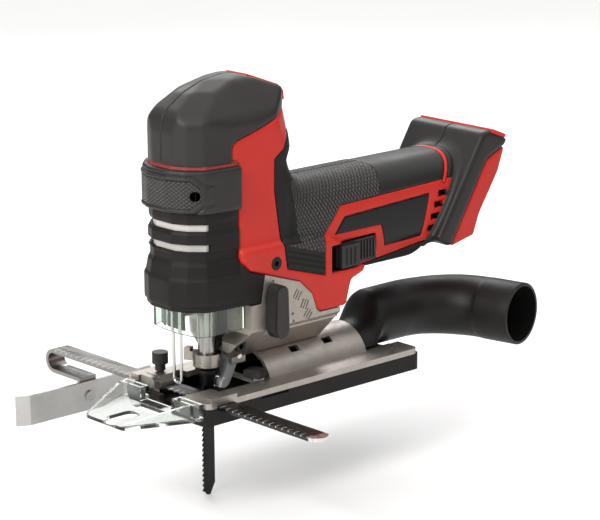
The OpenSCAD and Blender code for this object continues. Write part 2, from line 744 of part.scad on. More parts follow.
module guide_roller() {
  color([0.75, 0.75, 0.77]) translate([roller_at[0], 0, roller_at[1]]) rotate([90, 0, 0]) rotate_extrude()
    polygon([[axle_r + run_fit, -2.8], [roller_r, -2.8], [roller_r, -0.9], [roller_r - 0.5, -0.7],
      [roller_r - 0.5, 0.7], [roller_r, 0.9], [roller_r, 2.8], [axle_r + run_fit, 2.8]]);
}

// ---------- controls ----------
lever_axis = [25, 45.2];
lever_shaft_r = 3;
lever_y = [-35.6, -29];
module orbital_lever() {
  color([0.12, 0.12, 0.12]) translate([lever_axis[0], 0, lever_axis[1]]) {
    along_y(lever_y[0], lever_y[1]) lever_outline(5.5, 4.9);
    along_y(lever_y[0] - 1, lever_y[0]) lever_outline(4.5, 3.9);
    rod_y(lever_y[1] - 1, -16, lever_shaft_r);
    translate([0.8, 0, 0]) rod_y(-16, -12, 2);
  }
}
module lever_outline(r0, r1) {
  union() {
    circle(r = r0);
    translate([0, 20.4]) circle(r = r1);
    polygon([[-r0, 0], [r0, 0], [r1, 20.4], [-r1, 20.4]]);
  }
}
module switch_slider() {
  color([0.1, 0.1, 0.1]) difference() {
    union() {
      along_y(-barrel_half_w - 0.4, -barrel_half_w + 3) polygon([[76.4, 69], [76.4, 83], [106, 83.6], [107.8, 69.8]]);
      along_y(-barrel_half_w - 4.4, -barrel_half_w - 0.3) polygon([[77, 69.4], [77, 82.4], [91, 82.6], [91, 69.6]]);
      for (i = [0:5]) block([93 + i * 2.4, -barrel_half_w - 1.3, 71.4], [94.2 + i * 2.4, -barrel_half_w, 82]);
    }
    for (i = [0:2]) block([80 + i * 3.2, -barrel_half_w - 5, 71], [81.2 + i * 3.2, -barrel_half_w - 3.9, 81]);
  }
}

// ---------- base ----------
opening_y = 20.8;
blade_room = 7.6;  // half width of the shoe's slot beside the blade, for bevels up to 45 degrees
bar_x = -16.4;
bar_w = 12;
bar_top = 10.8;
bar_t = 2.3;
module rounded_plan(x0, x1, w, r) {
  union() {
    polygon([[x0, -w + r], [x0 + r, -w], [x1 - r, -w], [x1, -w + r], [x1, w - r], [x1 - r, w], [x0 + r, w],
             [x0, w - r]]);
    for (x = [x0 + r, x1 - r], y = [-w + r, w - r]) translate([x, y]) circle(r = r);
  }
}
module bar_channel() {
  block([bar_x - bar_w / 2 - 0.15, -80, bar_top - bar_t - 0.15], [bar_x + bar_w / 2 + 0.15, 80, bar_top + 0.15]);
}
// Room for the blade's drive, the wire guard and the collar's ear when the base is bevelled.
module blade_opening() {
  block([-sole_front - 5, -13.6, 0], [-8, 13.6, 20]);
  block([-9.2, -opening_y, 0], [21.6, opening_y, 20]);
  block([-9.2, 0, 0], [2, 26.6, 20]);
  block([-sole_front - 5, 10, 0], [bracket_x[0] - 0.6, 27.9, 20]);
}
// Space of the dust tube in the rear of the base.
module tube_channel() {
  translate([0, 0, tube_z]) rod_x(107, 140, tube_r + slip);
  block([107, -17.8, 10.2], [140, 17.8, 20]);
}
clamp_stud = [24.9, -8];
module base_plate() {
  inner_r = saddle_r - 2.2;
  color([0.78, 0.76, 0.73]) difference() {
    union() {
      along_z(shoe_h, plate_top) rounded_plan(-sole_front + 1, sole_rear - 2, sole_half_w, 4);
      // saddle
      intersection() {
        translate([0, 0, bevel_z]) rod_x(29, 104.5, saddle_r);
        block([0, -40, shoe_h], [120, 40, 60]);
      }
      // bridges over the fence bar
      for (y = [-sole_half_w, sole_half_w - 7]) block([bar_x - 10.6, y, shoe_h], [bar_x + 8, y + 7, 15.4]);
      translate([clamp_stud[0], clamp_stud[1], shoe_h]) cylinder(h = 6.6, r = 2.5);
    }
    // hollow of the saddle, open at both ends
    translate([0, 0, bevel_z]) rod_x(22, 110, inner_r);
    for (side = [-1, 1]) for (x = [54.5, 80])
      translate([x, side * 12.4, bevel_z + 17.2]) rotate([side * -36, 0, 0]) block([-3.4, -2.2, -6], [3.4, 2.2, 6]);
    blade_opening();
    bar_channel();
    tube_channel();
    translate([knob_at[0], knob_at[1], 5]) cylinder(h = 20, r = stem_r + run_fit);
    for (side = [-1, 1]) translate([119, side * 27, 0]) cylinder(h = 20, r = 1.6);
  }
}
module sole_shoe() {
  floor_t = 1.8;
  color([0.1, 0.1, 0.1]) difference() {
    along_z(0, shoe_h) rounded_plan(-sole_front, sole_rear, sole_half_w, 4.6);
    along_z(floor_t, 12) rounded_plan(-sole_front + 3.6, sole_rear - 3.6, sole_half_w - 3.4, 2);
    block([-sole_front - 5, -5, -1], [12, 5, 12]);
    block([-7, -blade_room, -1], [12, blade_room, 12]);
    bar_channel();
    tube_channel();
    for (side = [-1, 1]) {
      block([10, side < 0 ? -sole_half_w - 1 : sole_half_w - 1.2, shoe_h - 1.6],
            [30, side < 0 ? -sole_half_w + 1.2 : sole_half_w + 1, shoe_h + 1]);
    }
  }
}
// A clear plate with an oval sight hole, walls that rise towards the sole, and two open boxes at the back.
indicator_low = 3.6;
indicator_back = -sole_front - 0.2;
module line_indicator() {
  color([0.85, 0.92, 0.9, 0.4]) difference() {
    union() {
      along_z(indicator_low, indicator_low + 2)
        polygon(both_flanks([[-74, -14.5], [-73, -17], [-38, -31.6], [indicator_back, -33.4]]));
      for (side = [0, 1]) mirror([0, side, 0]) {
        intersection() {
          along_z(indicator_low, 20) polygon([[-73.6, -14.2], [-72.8, -16.8], [-36, -32], [-36, -29.8]]);
          along_y(-40, 40) polygon([[-74, indicator_low], [-74, 6.4], [-40, 13.4], [-36, 13.4], [-36, indicator_low]]);
        }
        difference() {
          along_z(indicator_low, 13.4) polygon([[-37.4, -14], [-37.4, -31.4], [indicator_back, -33.4], [indicator_back, -14]]);
          along_z(indicator_low + 1.6, 14) polygon([[-35.8, -15.6], [-35.8, -30], [indicator_back - 1.6, -31.6],
            [indicator_back - 1.6, -15.6]]);
        }
      }
    }
    along_z(0, 20) {
      for (x = sight_x) translate([x, 0]) circle(r = sight_r);
      polygon([[sight_x[0], -sight_r], [sight_x[1], -sight_r], [sight_x[1], sight_r], [sight_x[0], sight_r]]);
      polygon([[-46, -11], [-39.4, -11], [-39.4, 11], [-46, 11]]);
    }
    block([-80, -0.4, indicator_low + 1.6], [sight_x[0] - sight_r + 1, 0.4, 7]);
  }
}
sight_x = [-65.5, -55.5];
sight_r = 5.2;
bracket_x = [-22, -10];
flange_x = [-26.6, -22.9];  // the bracket's flange hangs down in front of the fence bar
bracket_y = [13.7, 27.4];
bracket_top = 16.2;
bracket_slope = 3.3;
knob_at = [-15.4, 23];
module fence_bracket() {
  color([0.3, 0.3, 0.31]) difference() {
    union() {
      block([bracket_x[0], bracket_y[0], plate_top], [bracket_x[1], bracket_y[1], bracket_top]);
      block([flange_x[0], bracket_y[0] + 1, 2.4], [flange_x[1], bracket_y[1] - 1, bracket_top]);
      block([flange_x[1] - 0.1, bracket_y[0] + 1, plate_top], [bracket_x[0] + 0.1, bracket_y[1] - 1, bracket_top - 0.8]);
    }
    translate([knob_at[0], knob_at[1], 5]) cylinder(h = 20, r = stem_r + run_fit);
    // sloped inner corner, clear of the wire guard when the base is bevelled
    translate([bracket_x[0], bracket_y[0], bracket_top]) rotate([45, 0, 0])
      cube([40, bracket_slope * sqrt(2), bracket_slope * sqrt(2)], center = true);
  }
}
stem_r = 1.9;
module thumb_screw() {
  color([0.1, 0.1, 0.1]) translate([knob_at[0], knob_at[1], 0]) {
    translate([0, 0, bar_top + slip]) cylinder(h = 11, r = stem_r);
    translate([0, 0, 17.4]) cylinder(h = 4, r = 3);
    difference() {
      translate([0, 0, 21.4]) cylinder(h = 6.6, r = 4.6);
      for (i = [0:17]) rotate([0, 0, i * 20]) translate([4.85, 0, 20]) cylinder(h = 10, r = 0.5, $fn = 6);
    }
  }
}
lever_lift = plate_top + slip;
tip_shift = [-5.4, -10.6];
module bevel_lever() {
  color("silver") translate([clamp_stud[0], clamp_stud[1], lever_lift]) difference() {
    union() {
      cylinder(h = 2, r = 3.9);
      along_z(0, 2) polygon([[-2.6, 0.8], [2.6, -1.8], [tip_shift[0] + 3, tip_shift[1] - 4],
        [tip_shift[0] - 3, tip_shift[1] - 2]]);
    }
    translate([0, 0, -1]) cylinder(h = 5, r = 2.5 + run_fit);
  }
}
module lever_tip() {
  color([0.08, 0.08, 0.08]) translate([clamp_stud[0] + tip_shift[0], clamp_stud[1] + tip_shift[1], lever_lift + 2])
    rotate([0, 0, 20]) union() {
      block([-4.6, -5.4, 0], [4.6, 5, 3.4]);
      block([-3.8, -4.6, 3.3], [3.8, 4.2, 4.6]);
    }
}

// ---------- rip fence ----------
bend_y = 115;
leg_gap = 12.1;                   // from the upper leg's top down to the lower leg's underside is leg_gap + bar_t
plate_y = 88;
plate_t = 1.6;
module fence_bar() {
  r_out = (leg_gap + bar_t) / 2;
  low = bar_top - leg_gap - bar_t;
  color([0.2, 0.2, 0.21]) difference() {
    union() {
      block([bar_x - bar_w / 2, -bar_near + 3, bar_top - bar_t], [bar_x + bar_w / 2, bend_y, bar_top]);
      intersection() {
        translate([bar_x, -bar_near + 6, bar_top - bar_t]) cylinder(h = bar_t, r = bar_w / 2);
        block([-60, -bar_near - 3, 0], [60, -bar_near + 6, 20]);
      }
      difference() {
        translate([0, bend_y, bar_top - r_out]) rod_x(bar_x - bar_w / 2, bar_x + bar_w / 2, r_out);
        translate([0, bend_y, bar_top - r_out]) rod_x(bar_x - bar_w, bar_x + bar_w, r_out - bar_t);
        block([-60, 0, -30], [60, bend_y, 30]);
      }
      block([bar_x - bar_w / 2, plate_y + plate_t, low], [bar_x + bar_w / 2, bend_y, low + bar_t]);
      block([bar_x - bar_w / 2, plate_y + plate_t, low - 15], [bar_x + bar_w / 2, plate_y + plate_t + bar_t, low + 0.1]);
    }
    for (i = [0:21]) block([bar_x - bar_w / 2 - 1, -108 + i * 5, bar_top - 0.2],
                           [bar_x - bar_w / 2 + (i % 2 == 0 ? 4 : 2.4), -107.5 + i * 5, bar_top + 1]);
    translate([bar_x, plate_y, rivet_z]) rod_y(-5, 9, rivet_r);
  }
}
rivet_z = -13;
rivet_r = 2.2;
plate_z = [-21.6, -3.9];
module fence_plate() {
  front = bar_x - fence_l / 2 - 4.6;  // tip of the bent front end
  color([0.8, 0.8, 0.8]) difference() {
    along_z(plate_z[0], plate_z[1]) polygon([[front + 7.6, plate_y], [front + 4.6 + fence_l, plate_y],
      [front + 4.6 + fence_l, plate_y + plate_t], [front + 8, plate_y + plate_t],
      [front + 0.6, plate_y + 5.2], [front, plate_y + 3.9]]);
    translate([bar_x, plate_y, rivet_z]) rod_y(-5, 9, rivet_r);
  }
}
module fence_rivet() {
  color("silver") translate([bar_x, plate_y, rivet_z]) {
    rod_y(-1.2, 0, 3.3);
    rod_y(-0.6, plate_t + bar_t, rivet_r);
    rod_y(plate_t + bar_t, plate_t + bar_t + 1, 3.3);
  }
}

// ---------- dust tube ----------
tube_z = 26;
bend_r = 44;
bend_x = 148;
bend_angle = 78;
tube_end = 24;    // straight stretch at the open end
tube_step = 0.8;  // how much each stretch of the tube is wider than the one before
plug_r = saddle_r - 2.2 - slip;
// Outline of the saddle's hollow, d inside the plug that fits it.
function half_round(r, low) = let (a0 = asin((low - bevel_z) / r))
  [for (i = [0:16]) let (a = a0 + i * (180 - 2 * a0) / 16) [r * cos(a), bevel_z + r * sin(a)]];
plug_low = plate_top + 0.4;
// Inlet: a half-round plug in the saddle, then a blend that grows to the round tube.
module tube_inlet(d) {
  along_x(92 - d, 106) polygon(half_round(plug_r - d, plug_low + d));
}
module tube_blend(d) {
  hull() {
    along_x(105.6 - d / 2, 105.8) polygon(half_round(plug_r - d + 0.8, plug_low + d));
    translate([124, 0, tube_z]) rotate([0, 90, 0]) cylinder(h = 0.6, r = tube_r - d - 3 * tube_step, $fn = 32);
  }
}
module bend_frame() {
  translate([bend_x, -bend_r, tube_z]) rotate([0, 0, 90 - bend_angle]) children();
}
// Run, bend and end sleeve; each is a step wider than the one before it and overlaps it.
module tube_path(d, extra) {
  translate([0, 0, tube_z]) rod_x(124.2, bend_x + 0.6, tube_r - d - 2 * tube_step);
  bend_frame() {
    rotate_extrude(angle = bend_angle) translate([bend_r, 0]) circle(r = tube_r - d - tube_step);
    translate([bend_r, 0.6, 0]) rotate([90, 0, 0]) cylinder(h = tube_end + 0.6 + extra, r = tube_r - d);
  }
}
module dust_tube() {
  color([0.1, 0.1, 0.1]) difference() {
    union() {
      tube_inlet(0);
      tube_blend(0);
      tube_path(0, 0);
    }
    tube_inlet(tube_wall);
    tube_blend(tube_wall);
    tube_path(tube_wall, 1);
  }
}

shell_left();
shell_right();
cap_left();
cap_right();
cap_strip();
grip_ring();
ring_pad();
head_cover();
slot_liner();
grip_left();
grip_right();
rear_sleeve();
plate_left();
plate_right();
foot_left();
foot_right();
foot_ring();
rail_frame();
contact_block();
battery_contacts();
gear_housing();
chip_shield();
wire_guard();
led_lens();
shell_screws();
housing_screws();
switch_module();
control_board();
stator();
windings();
motor_bearings();
plunger_bushes();
fork_pin();
rotor_shaft();
rotor_core();
cooling_fan();
drive_gear();
counterweight();
plunger_rod();
yoke();
blade_holder();
saw_blade();
release_collar();
pendulum_fork();
guide_roller();
orbital_lever();
switch_slider();
base_plate();
sole_shoe();
line_indicator();
fence_bracket();
bevel_lever();
lever_tip();
thumb_screw();
fence_bar();
fence_plate();
fence_rivet();
dust_tube();
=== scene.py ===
import json
import math

import bmesh
import bpy
import numpy as np
from mathutils import Matrix, Vector

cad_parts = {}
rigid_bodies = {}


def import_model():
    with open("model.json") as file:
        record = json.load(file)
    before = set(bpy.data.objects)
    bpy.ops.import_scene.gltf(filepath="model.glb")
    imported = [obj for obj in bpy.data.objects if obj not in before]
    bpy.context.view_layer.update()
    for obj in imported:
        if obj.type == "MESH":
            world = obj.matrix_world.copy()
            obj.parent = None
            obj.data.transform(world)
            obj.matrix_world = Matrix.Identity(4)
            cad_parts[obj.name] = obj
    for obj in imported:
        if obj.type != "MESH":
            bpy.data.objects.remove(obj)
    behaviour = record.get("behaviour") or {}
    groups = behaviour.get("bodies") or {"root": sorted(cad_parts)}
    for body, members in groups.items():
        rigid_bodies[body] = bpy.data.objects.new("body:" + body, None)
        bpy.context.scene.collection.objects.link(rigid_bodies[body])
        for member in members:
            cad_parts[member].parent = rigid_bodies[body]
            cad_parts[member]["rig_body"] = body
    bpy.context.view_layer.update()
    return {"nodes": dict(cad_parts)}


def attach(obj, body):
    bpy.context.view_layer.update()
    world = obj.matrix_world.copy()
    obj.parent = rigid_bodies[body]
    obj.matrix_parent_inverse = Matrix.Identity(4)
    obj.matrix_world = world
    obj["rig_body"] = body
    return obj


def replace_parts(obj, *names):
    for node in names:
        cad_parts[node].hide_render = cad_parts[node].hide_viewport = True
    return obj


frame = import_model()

MM = 0.001
scene = bpy.context.scene

# ---------------------------------------------------------------- camera, fitted to the photo, in metres
FOCAL_MM = 150.0
SENSOR_MM = 36.0
NEAR, FAR = 0.05, 20.0
CAMERA_AT = Vector((-0.8659, -1.0331, 0.4310))
HEADING, DROP, ROLL = math.radians(42.2), math.radians(14.5), math.radians(0.3)
camera_data = bpy.data.cameras.new("camera")
camera_data.lens = FOCAL_MM
camera_data.sensor_width = SENSOR_MM
camera_data.clip_start = NEAR
camera_data.clip_end = FAR
camera = bpy.data.objects.new("camera", camera_data)
scene.collection.objects.link(camera)
forward = Vector((math.sin(HEADING) * math.cos(DROP), math.cos(HEADING) * math.cos(DROP), -math.sin(DROP)))
camera.matrix_world = (Matrix.Translation(CAMERA_AT) @ forward.to_track_quat("-Z", "Y").to_matrix().to_4x4()
                       @ Matrix.Rotation(-ROLL, 4, "Z"))
scene.camera = camera


# ---------------------------------------------------------------- distance fields
def grid(low, high, step):
    """Three arrays of x, y and z in mm that broadcast to the whole grid."""
    axes = [np.arange(low[i], high[i] + step, step, dtype=np.float32) for i in range(3)]
    return (axes[0][:, None, None], axes[1][None, :, None], axes[2][None, None, :])


def poly(u, v, points):
    """Signed distance from (u, v) to a closed outline, negative inside."""
    pts = np.array(points, np.float64)
    nearest = np.full(np.broadcast(u, v).shape, 1e9)
    inside = np.zeros(nearest.shape, bool)
    for a, b in zip(pts, np.roll(pts, -1, axis=0)):
        e = b - a
        t = np.clip(((u - a[0]) * e[0] + (v - a[1]) * e[1]) / (e @ e), 0, 1)
        nearest = np.minimum(nearest, (u - a[0] - t * e[0]) ** 2 + (v - a[1] - t * e[1]) ** 2)
        if a[1] != b[1]:
            crosses = ((v >= a[1]) != (v >= b[1])) & (u < a[0] + (v - a[1]) * e[0] / e[1])
            inside ^= crosses
    return (np.sqrt(nearest) * np.where(inside, -1.0, 1.0)).astype(np.float32)


def both(a, b, k=0.0):
    """Intersection, its edge rounded by about k."""
    if k <= 0:
        return np.maximum(a, b)
    h = np.clip(k - np.abs(a - b), 0, None) / k
    return np.maximum(a, b) + h * h * k / 4


def either(a, b, k=0.0):
    """Union, its inner corner filled by about k."""
    return -both(-a, -b, k)


def without(a, b, k=0.0):
    """Difference, its edge rounded by about k."""
    return both(a, -b, k)


def slab(u, low, high):
    """Everything between two parallel planes."""
    return np.maximum(low - u, u - high)


BLUR_REACH = 2.2  # the blur's half width, in sigmas
OUTSIDE = 5.0     # distance given to the rim round a grid, which closes every surface


def blur(f, sigma_cells):
    """Smooths a field, which rounds its edges and corners; sigma is counted in grid cells."""
    reach = int(math.ceil(BLUR_REACH * sigma_cells))
    w = np.exp(-0.5 * (np.arange(-reach, reach + 1) / sigma_cells) ** 2)
    w /= w.sum()
    for axis in range(3):
        pad = [(0, 0)] * 3
        pad[axis] = (reach, reach)
        g = np.pad(f, pad, mode="edge")
        out = np.zeros_like(f)
        for i, wi in enumerate(w):
            cut = [slice(None)] * 3
            cut[axis] = slice(i, i + f.shape[axis])
            out += np.float32(wi) * g[tuple(cut)]
        f = out
    return f


def surface(name, f, low, step, body, material):
    """Mesh of the zero surface of a field (one vertex per crossed cell), riding on a CAD body."""
    f = np.pad(f, 1, constant_values=OUTSIDE)
    low = np.array(low, np.float64) - step
    cells = np.array(f.shape) - 1
    inside = f < 0
    total = int(np.prod(cells))
    quads = []
    # for each cell, the sum of its crossing points and their number
    sums = np.zeros((4, total), np.float32)
    for axis in range(3):
        # every grid edge along this axis with one end inside and one outside crosses the surface
        start, end = [slice(None)] * 3, [slice(None)] * 3
        start[axis], end[axis] = slice(0, -1), slice(1, None)
        crossed = inside[tuple(start)] != inside[tuple(end)]
        at = np.argwhere(crossed)
        at_start, at_end = f[tuple(start)][crossed], f[tuple(end)][crossed]
        points = at.astype(np.float32)
        points[:, axis] += at_start / (at_start - at_end)
        others = [k for k in range(3) if k != axis]
        # the four cells round a crossed edge are the corners of one face
        ring = []
        for back in ((0, 0), (1, 0), (1, 1), (0, 1)):
            cell = at.copy()
            cell[:, others[0]] -= back[0]
            cell[:, others[1]] -= back[1]
            flat = (cell[:, 0] * cells[1] + cell[:, 1]) * cells[2] + cell[:, 2]
            ring.append(flat)
            for k in range(3):
                sums[k] += np.bincount(flat, points[:, k], total).astype(np.float32)
            sums[3] += np.bincount(flat, minlength=total).astype(np.float32)
        ring = np.stack(ring, 1)
        forward_face = (at_start < 0) != (axis == 1)
        ring[~forward_face] = ring[~forward_face][:, ::-1]
        quads.append(ring)
    used = np.flatnonzero(sums[3])
    index = np.full(total, -1, np.int64)
    index[used] = np.arange(len(used))
    co = (sums[:3, used] / sums[3, used]).T * step + low
    faces = index[np.concatenate(quads)]
    mesh = bpy.data.meshes.new(name)
    mesh.vertices.add(len(co))
    mesh.vertices.foreach_set("co", (co * MM).astype(np.float32).ravel())
    mesh.loops.add(faces.size)
    mesh.loops.foreach_set("vertex_index", faces.ravel().astype(np.int32))
    mesh.polygons.add(len(faces))
    mesh.polygons.foreach_set("loop_start", np.arange(0, faces.size, 4, dtype=np.int32))
    mesh.polygons.foreach_set("loop_total", np.full(len(faces), 4, np.int32))
    mesh.update(calc_edges=True)
    mesh.validate()
    mesh.shade_smooth()
    return place(name, mesh, body, material)


def place(name, mesh, body, material):
    """Adds a mesh to the scene as one piece that rides on a CAD body."""
    piece = bpy.data.objects.new(name, mesh)
    scene.collection.objects.link(piece)
    mesh.materials.clear()
    mesh.materials.append(material)
    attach(piece, body)
    return piece


# ---------------------------------------------------------------- materials
class Look:
    """A Principled material with helpers for its procedural detail, in the piece's own coordinates in mm."""

    def __init__(self, name, color, rough, metal=0.0, **sockets):
        self.material = bpy.data.materials.new(name)
        self.material.use_nodes = True
        self.tree = self.material.node_tree
        self.shader = self.tree.nodes["Principled BSDF"]
        self.color = color
        self.set("Base Color", (*color, 1.0))
        self.set("Roughness", rough)
        self.set("Metallic", metal)
        for key, value in sockets.items():
            self.set(key.replace("_", " "), value)
        coords = self.node("ShaderNodeTexCoord")
        scale = self.node("ShaderNodeVectorMath", operation="SCALE")
        scale.inputs["Scale"].default_value = 1 / MM
        self.join(coords.outputs["Object"], scale.inputs[0])
        self.mm = scale.outputs[0]
        self.normal = None

    def set(self, socket, value):
        self.shader.inputs[socket].default_value = value

    def node(self, kind, **settings):
        made = self.tree.nodes.new(kind)
        for key, value in settings.items():
            setattr(made, key, value)
        return made

    def join(self, a, b):
        self.tree.links.new(a, b)

    def position(self):
        """The piece's own x, y and z in mm."""
        split = self.node("ShaderNodeSeparateXYZ")
        self.join(self.mm, split.inputs[0])
        return [split.outputs[axis] for axis in "XYZ"]

    def stretched(self, factors):
        """The position with each axis scaled, which draws a texture out along the small ones."""
        mul = self.node("ShaderNodeVectorMath", operation="MULTIPLY")
        mul.inputs[1].default_value = factors
        self.join(self.mm, mul.inputs[0])
        return mul.outputs[0]

    def noise(self, per_mm, detail=4.0, stretch=None, rough=0.55):
        tex = self.node("ShaderNodeTexNoise")
        tex.inputs["Scale"].default_value = per_mm
        tex.inputs["Detail"].default_value = detail
        tex.inputs["Roughness"].default_value = rough
        self.join(self.stretched(stretch) if stretch else self.mm, tex.inputs["Vector"])
        return tex.outputs["Fac"]

    def ranged(self, value, low, high, start=0.3, end=0.7):
        """Runs from low to high while the value runs from start to end."""
        ramp = self.node("ShaderNodeMapRange")
        ramp.inputs["From Min"].default_value = start
        ramp.inputs["From Max"].default_value = end
        ramp.inputs["To Min"].default_value = low
        ramp.inputs["To Max"].default_value = high
        self.join(value, ramp.inputs["Value"])
        return ramp.outputs["Result"]

    def vary_rough(self, value, low, high, start=0.3, end=0.7):
        self.join(self.ranged(value, low, high, start, end), self.shader.inputs["Roughness"])

    def vary_color(self, value, other, start=0.3, end=0.7):
        """Shades the base colour into a second one."""
        ramp = self.node("ShaderNodeValToRGB")
        ramp.color_ramp.elements[0].position = start
        ramp.color_ramp.elements[0].color = (*self.color, 1.0)
        ramp.color_ramp.elements[1].position = end
        ramp.color_ramp.elements[1].color = (*other, 1.0)
        self.join(value, ramp.inputs["Fac"])
        self.join(ramp.outputs["Color"], self.shader.inputs["Base Color"])

    def print_over(self, mask, other):
        """Lays a second colour over the first where the mask is 1."""
        mix = self.node("ShaderNodeMix", data_type="RGBA")
        self.join(mask, mix.inputs["Factor"])
        self.join(self.shader.inputs["Base Color"].links[0].from_socket, mix.inputs["A"])
        mix.inputs["B"].default_value = (*other, 1.0)
        self.join(mix.outputs["Result"], self.shader.inputs["Base Color"])

    def bump(self, height, depth_mm, strength=1.0):
        """Adds fine relief on top of any relief already there."""
        made = self.node("ShaderNodeBump")
        made.inputs["Strength"].default_value = strength
        made.inputs["Distance"].default_value = depth_mm * MM
        self.join(height, made.inputs["Height"])
        if self.normal:
            self.join(self.normal, made.inputs["Normal"])
        self.normal = made.outputs["Normal"]
        self.join(self.normal, self.shader.inputs["Normal"])

    def soft_edges(self, radius_mm):
        """Shades sharp edges as if they were slightly rounded."""
        made = self.node("ShaderNodeBevel", samples=6)
        made.inputs["Radius"].default_value = radius_mm * MM
        self.normal = made.outputs["Normal"]
        self.join(self.normal, self.shader.inputs["Normal"])

    def math(self, operation, a, b=None):
        made = self.node("ShaderNodeMath", operation=operation)
        for i, v in enumerate((a, b)):
            if v is None:
                continue
            if isinstance(v, (int, float)):
                made.inputs[i].default_value = v
            else:
                self.join(v, made.inputs[i])
        return made.outputs[0]


def moulded(name, color, rough, other=None, grain=2.2, depth=0.035, edges=0.25, **sockets):
    """Moulded plastic: eroded grain, slightly uneven gloss and faint handling marks."""
    look = Look(name, color, rough, **sockets)
    look.soft_edges(edges)
    look.bump(look.noise(grain, 3.0), depth, 0.8)
    look.vary_rough(look.noise(0.045, 5.0), rough - 0.05, rough + 0.07)
    other = other or [min(1.0, c * 1.18 + 0.002) for c in color]
    look.vary_color(look.noise(0.03, 6.0, rough=0.65), other, 0.35, 0.8)
    return look


# name, colour, roughness, second colour, grains per mm, grain depth in mm
red = moulded("red_plastic", (0.50, 0.020, 0.012), 0.44, (0.44, 0.017, 0.010), 1.6, 0.02,
              Specular_IOR_Level=0.3)
dull_red = moulded("bead_red", (0.20, 0.014, 0.010), 0.5, (0.17, 0.012, 0.009), 2.0, 0.02)
black = moulded("black_plastic", (0.0115, 0.0104, 0.0094), 0.44, (0.019, 0.0172, 0.0155), 2.4, 0.05,
                Specular_IOR_Level=0.38)
satin = moulded("satin_black", (0.011, 0.0103, 0.0098), 0.40, (0.016, 0.0148, 0.0136), 2.0, 0.03,
                Specular_IOR_Level=0.3)
cover_black = moulded("cover_black", (0.0082, 0.0072, 0.0062), 0.50, (0.0115, 0.010, 0.0087), 2.4, 0.05,
                      Specular_IOR_Level=0.18)
soft = moulded("soft_black", (0.008, 0.0075, 0.007), 0.55, (0.012, 0.011, 0.0103), 2.6, 0.05,
               Specular_IOR_Level=0.2)
hose = moulded("hose_black", (0.0075, 0.0070, 0.0066), 0.44, (0.012, 0.0112, 0.0105), 0.35, 0.09,
               Specular_IOR_Level=0.2)
gloss = moulded("gloss_black", (0.005, 0.0046, 0.0044), 0.2, (0.007, 0.0066, 0.0062), 0.25, 0.01, 0.1,
                Specular_IOR_Level=0.2)
liner = moulded("slot_liner", (0.62, 0.60, 0.57), 0.42, (0.56, 0.54, 0.51), 1.0, 0.02)
board = moulded("circuit_board", (0.02, 0.13, 0.05), 0.35)

# raised dots of the soft grip, laid out along the barrel and round it
DOT_PITCH = 2.5
DOT_RADIUS = 27.0    # turns an angle round the barrel into a length
DOT_SQUEEZE = 0.62   # how much closer the dots lie along the barrel than round it
BARREL_Z = 91.5      # height of the barrel's axis
dots = moulded("grip_dots", (0.062, 0.057, 0.053), 0.44, (0.074, 0.068, 0.063), 3.0, 0.03,
               Specular_IOR_Level=0.4)
at_x, at_y, at_z = dots.position()
turn = dots.math("ARCTAN2", at_y, dots.math("SUBTRACT", at_z, BARREL_Z))
along = dots.math("MULTIPLY", at_x, math.pi / DOT_PITCH)
around = dots.math("MULTIPLY", turn, DOT_RADIUS * math.pi / DOT_PITCH * DOT_SQUEEZE)
wave = dots.math("MULTIPLY", dots.math("SINE", dots.math("ADD", along, around)),
                 dots.math("SINE", dots.math("SUBTRACT", along, around)))
raised = dots.ranged(dots.math("ABSOLUTE", wave), 0.0, 1.0, 0.15, 0.75)
dots.bump(raised, 0.7)
# the gaps between the dots are painted near black: painted shade in the recesses
dots.print_over(dots.math("LESS_THAN", raised, 0.5), (0.003, 0.003, 0.0028))

# cross-hatched pad of the front ring
HATCH_PITCH = 3.3
HATCH_RISE = 1.5   # slope of the hatching
HATCH_TURN = 0.55  # carries the hatching round the pad's corners
hatch = moulded("pad_hatch", (0.040, 0.037, 0.034), 0.46, (0.048, 0.045, 0.041), 2.4, 0.03)
at_x, at_y, at_z = hatch.position()
across = hatch.math("SUBTRACT", at_y, hatch.math("MULTIPLY", at_x, HATCH_TURN))
risen = hatch.math("MULTIPLY", at_z, HATCH_RISE)
lines = []
for crossing in ("ADD", "SUBTRACT"):
    phase = hatch.math("MULTIPLY", hatch.math(crossing, across, risen), math.pi / HATCH_PITCH)
    lines.append(hatch.math("ABSOLUTE", hatch.math("SINE", phase)))
raised = hatch.ranged(hatch.math("MINIMUM", *lines), 0.0, 1.0, 0.1, 0.5)
hatch.bump(raised, 0.6)
# the grooves between the hatching are painted near black: painted shade in the recesses
hatch.print_over(hatch.math("LESS_THAN", raised, 0.55), (0.006, 0.0055, 0.005))


def metal(name, color, rough, grain=0.9, depth=0.03, stretch=None, edges=0.2, other=None):
    """Bare metal: fine or drawn-out grain, uneven gloss and slow changes of tone."""
    look = Look(name, color, rough, 1.0)
    look.soft_edges(edges)
    look.bump(look.noise(grain, 5.0, stretch), depth, 0.7)
    look.vary_rough(look.noise(grain * 0.3, 4.0, stretch), rough - 0.07, rough + 0.1)
    look.vary_color(look.noise(0.06, 5.0), other or [c * 0.86 for c in color], 0.3, 0.75)
    return look


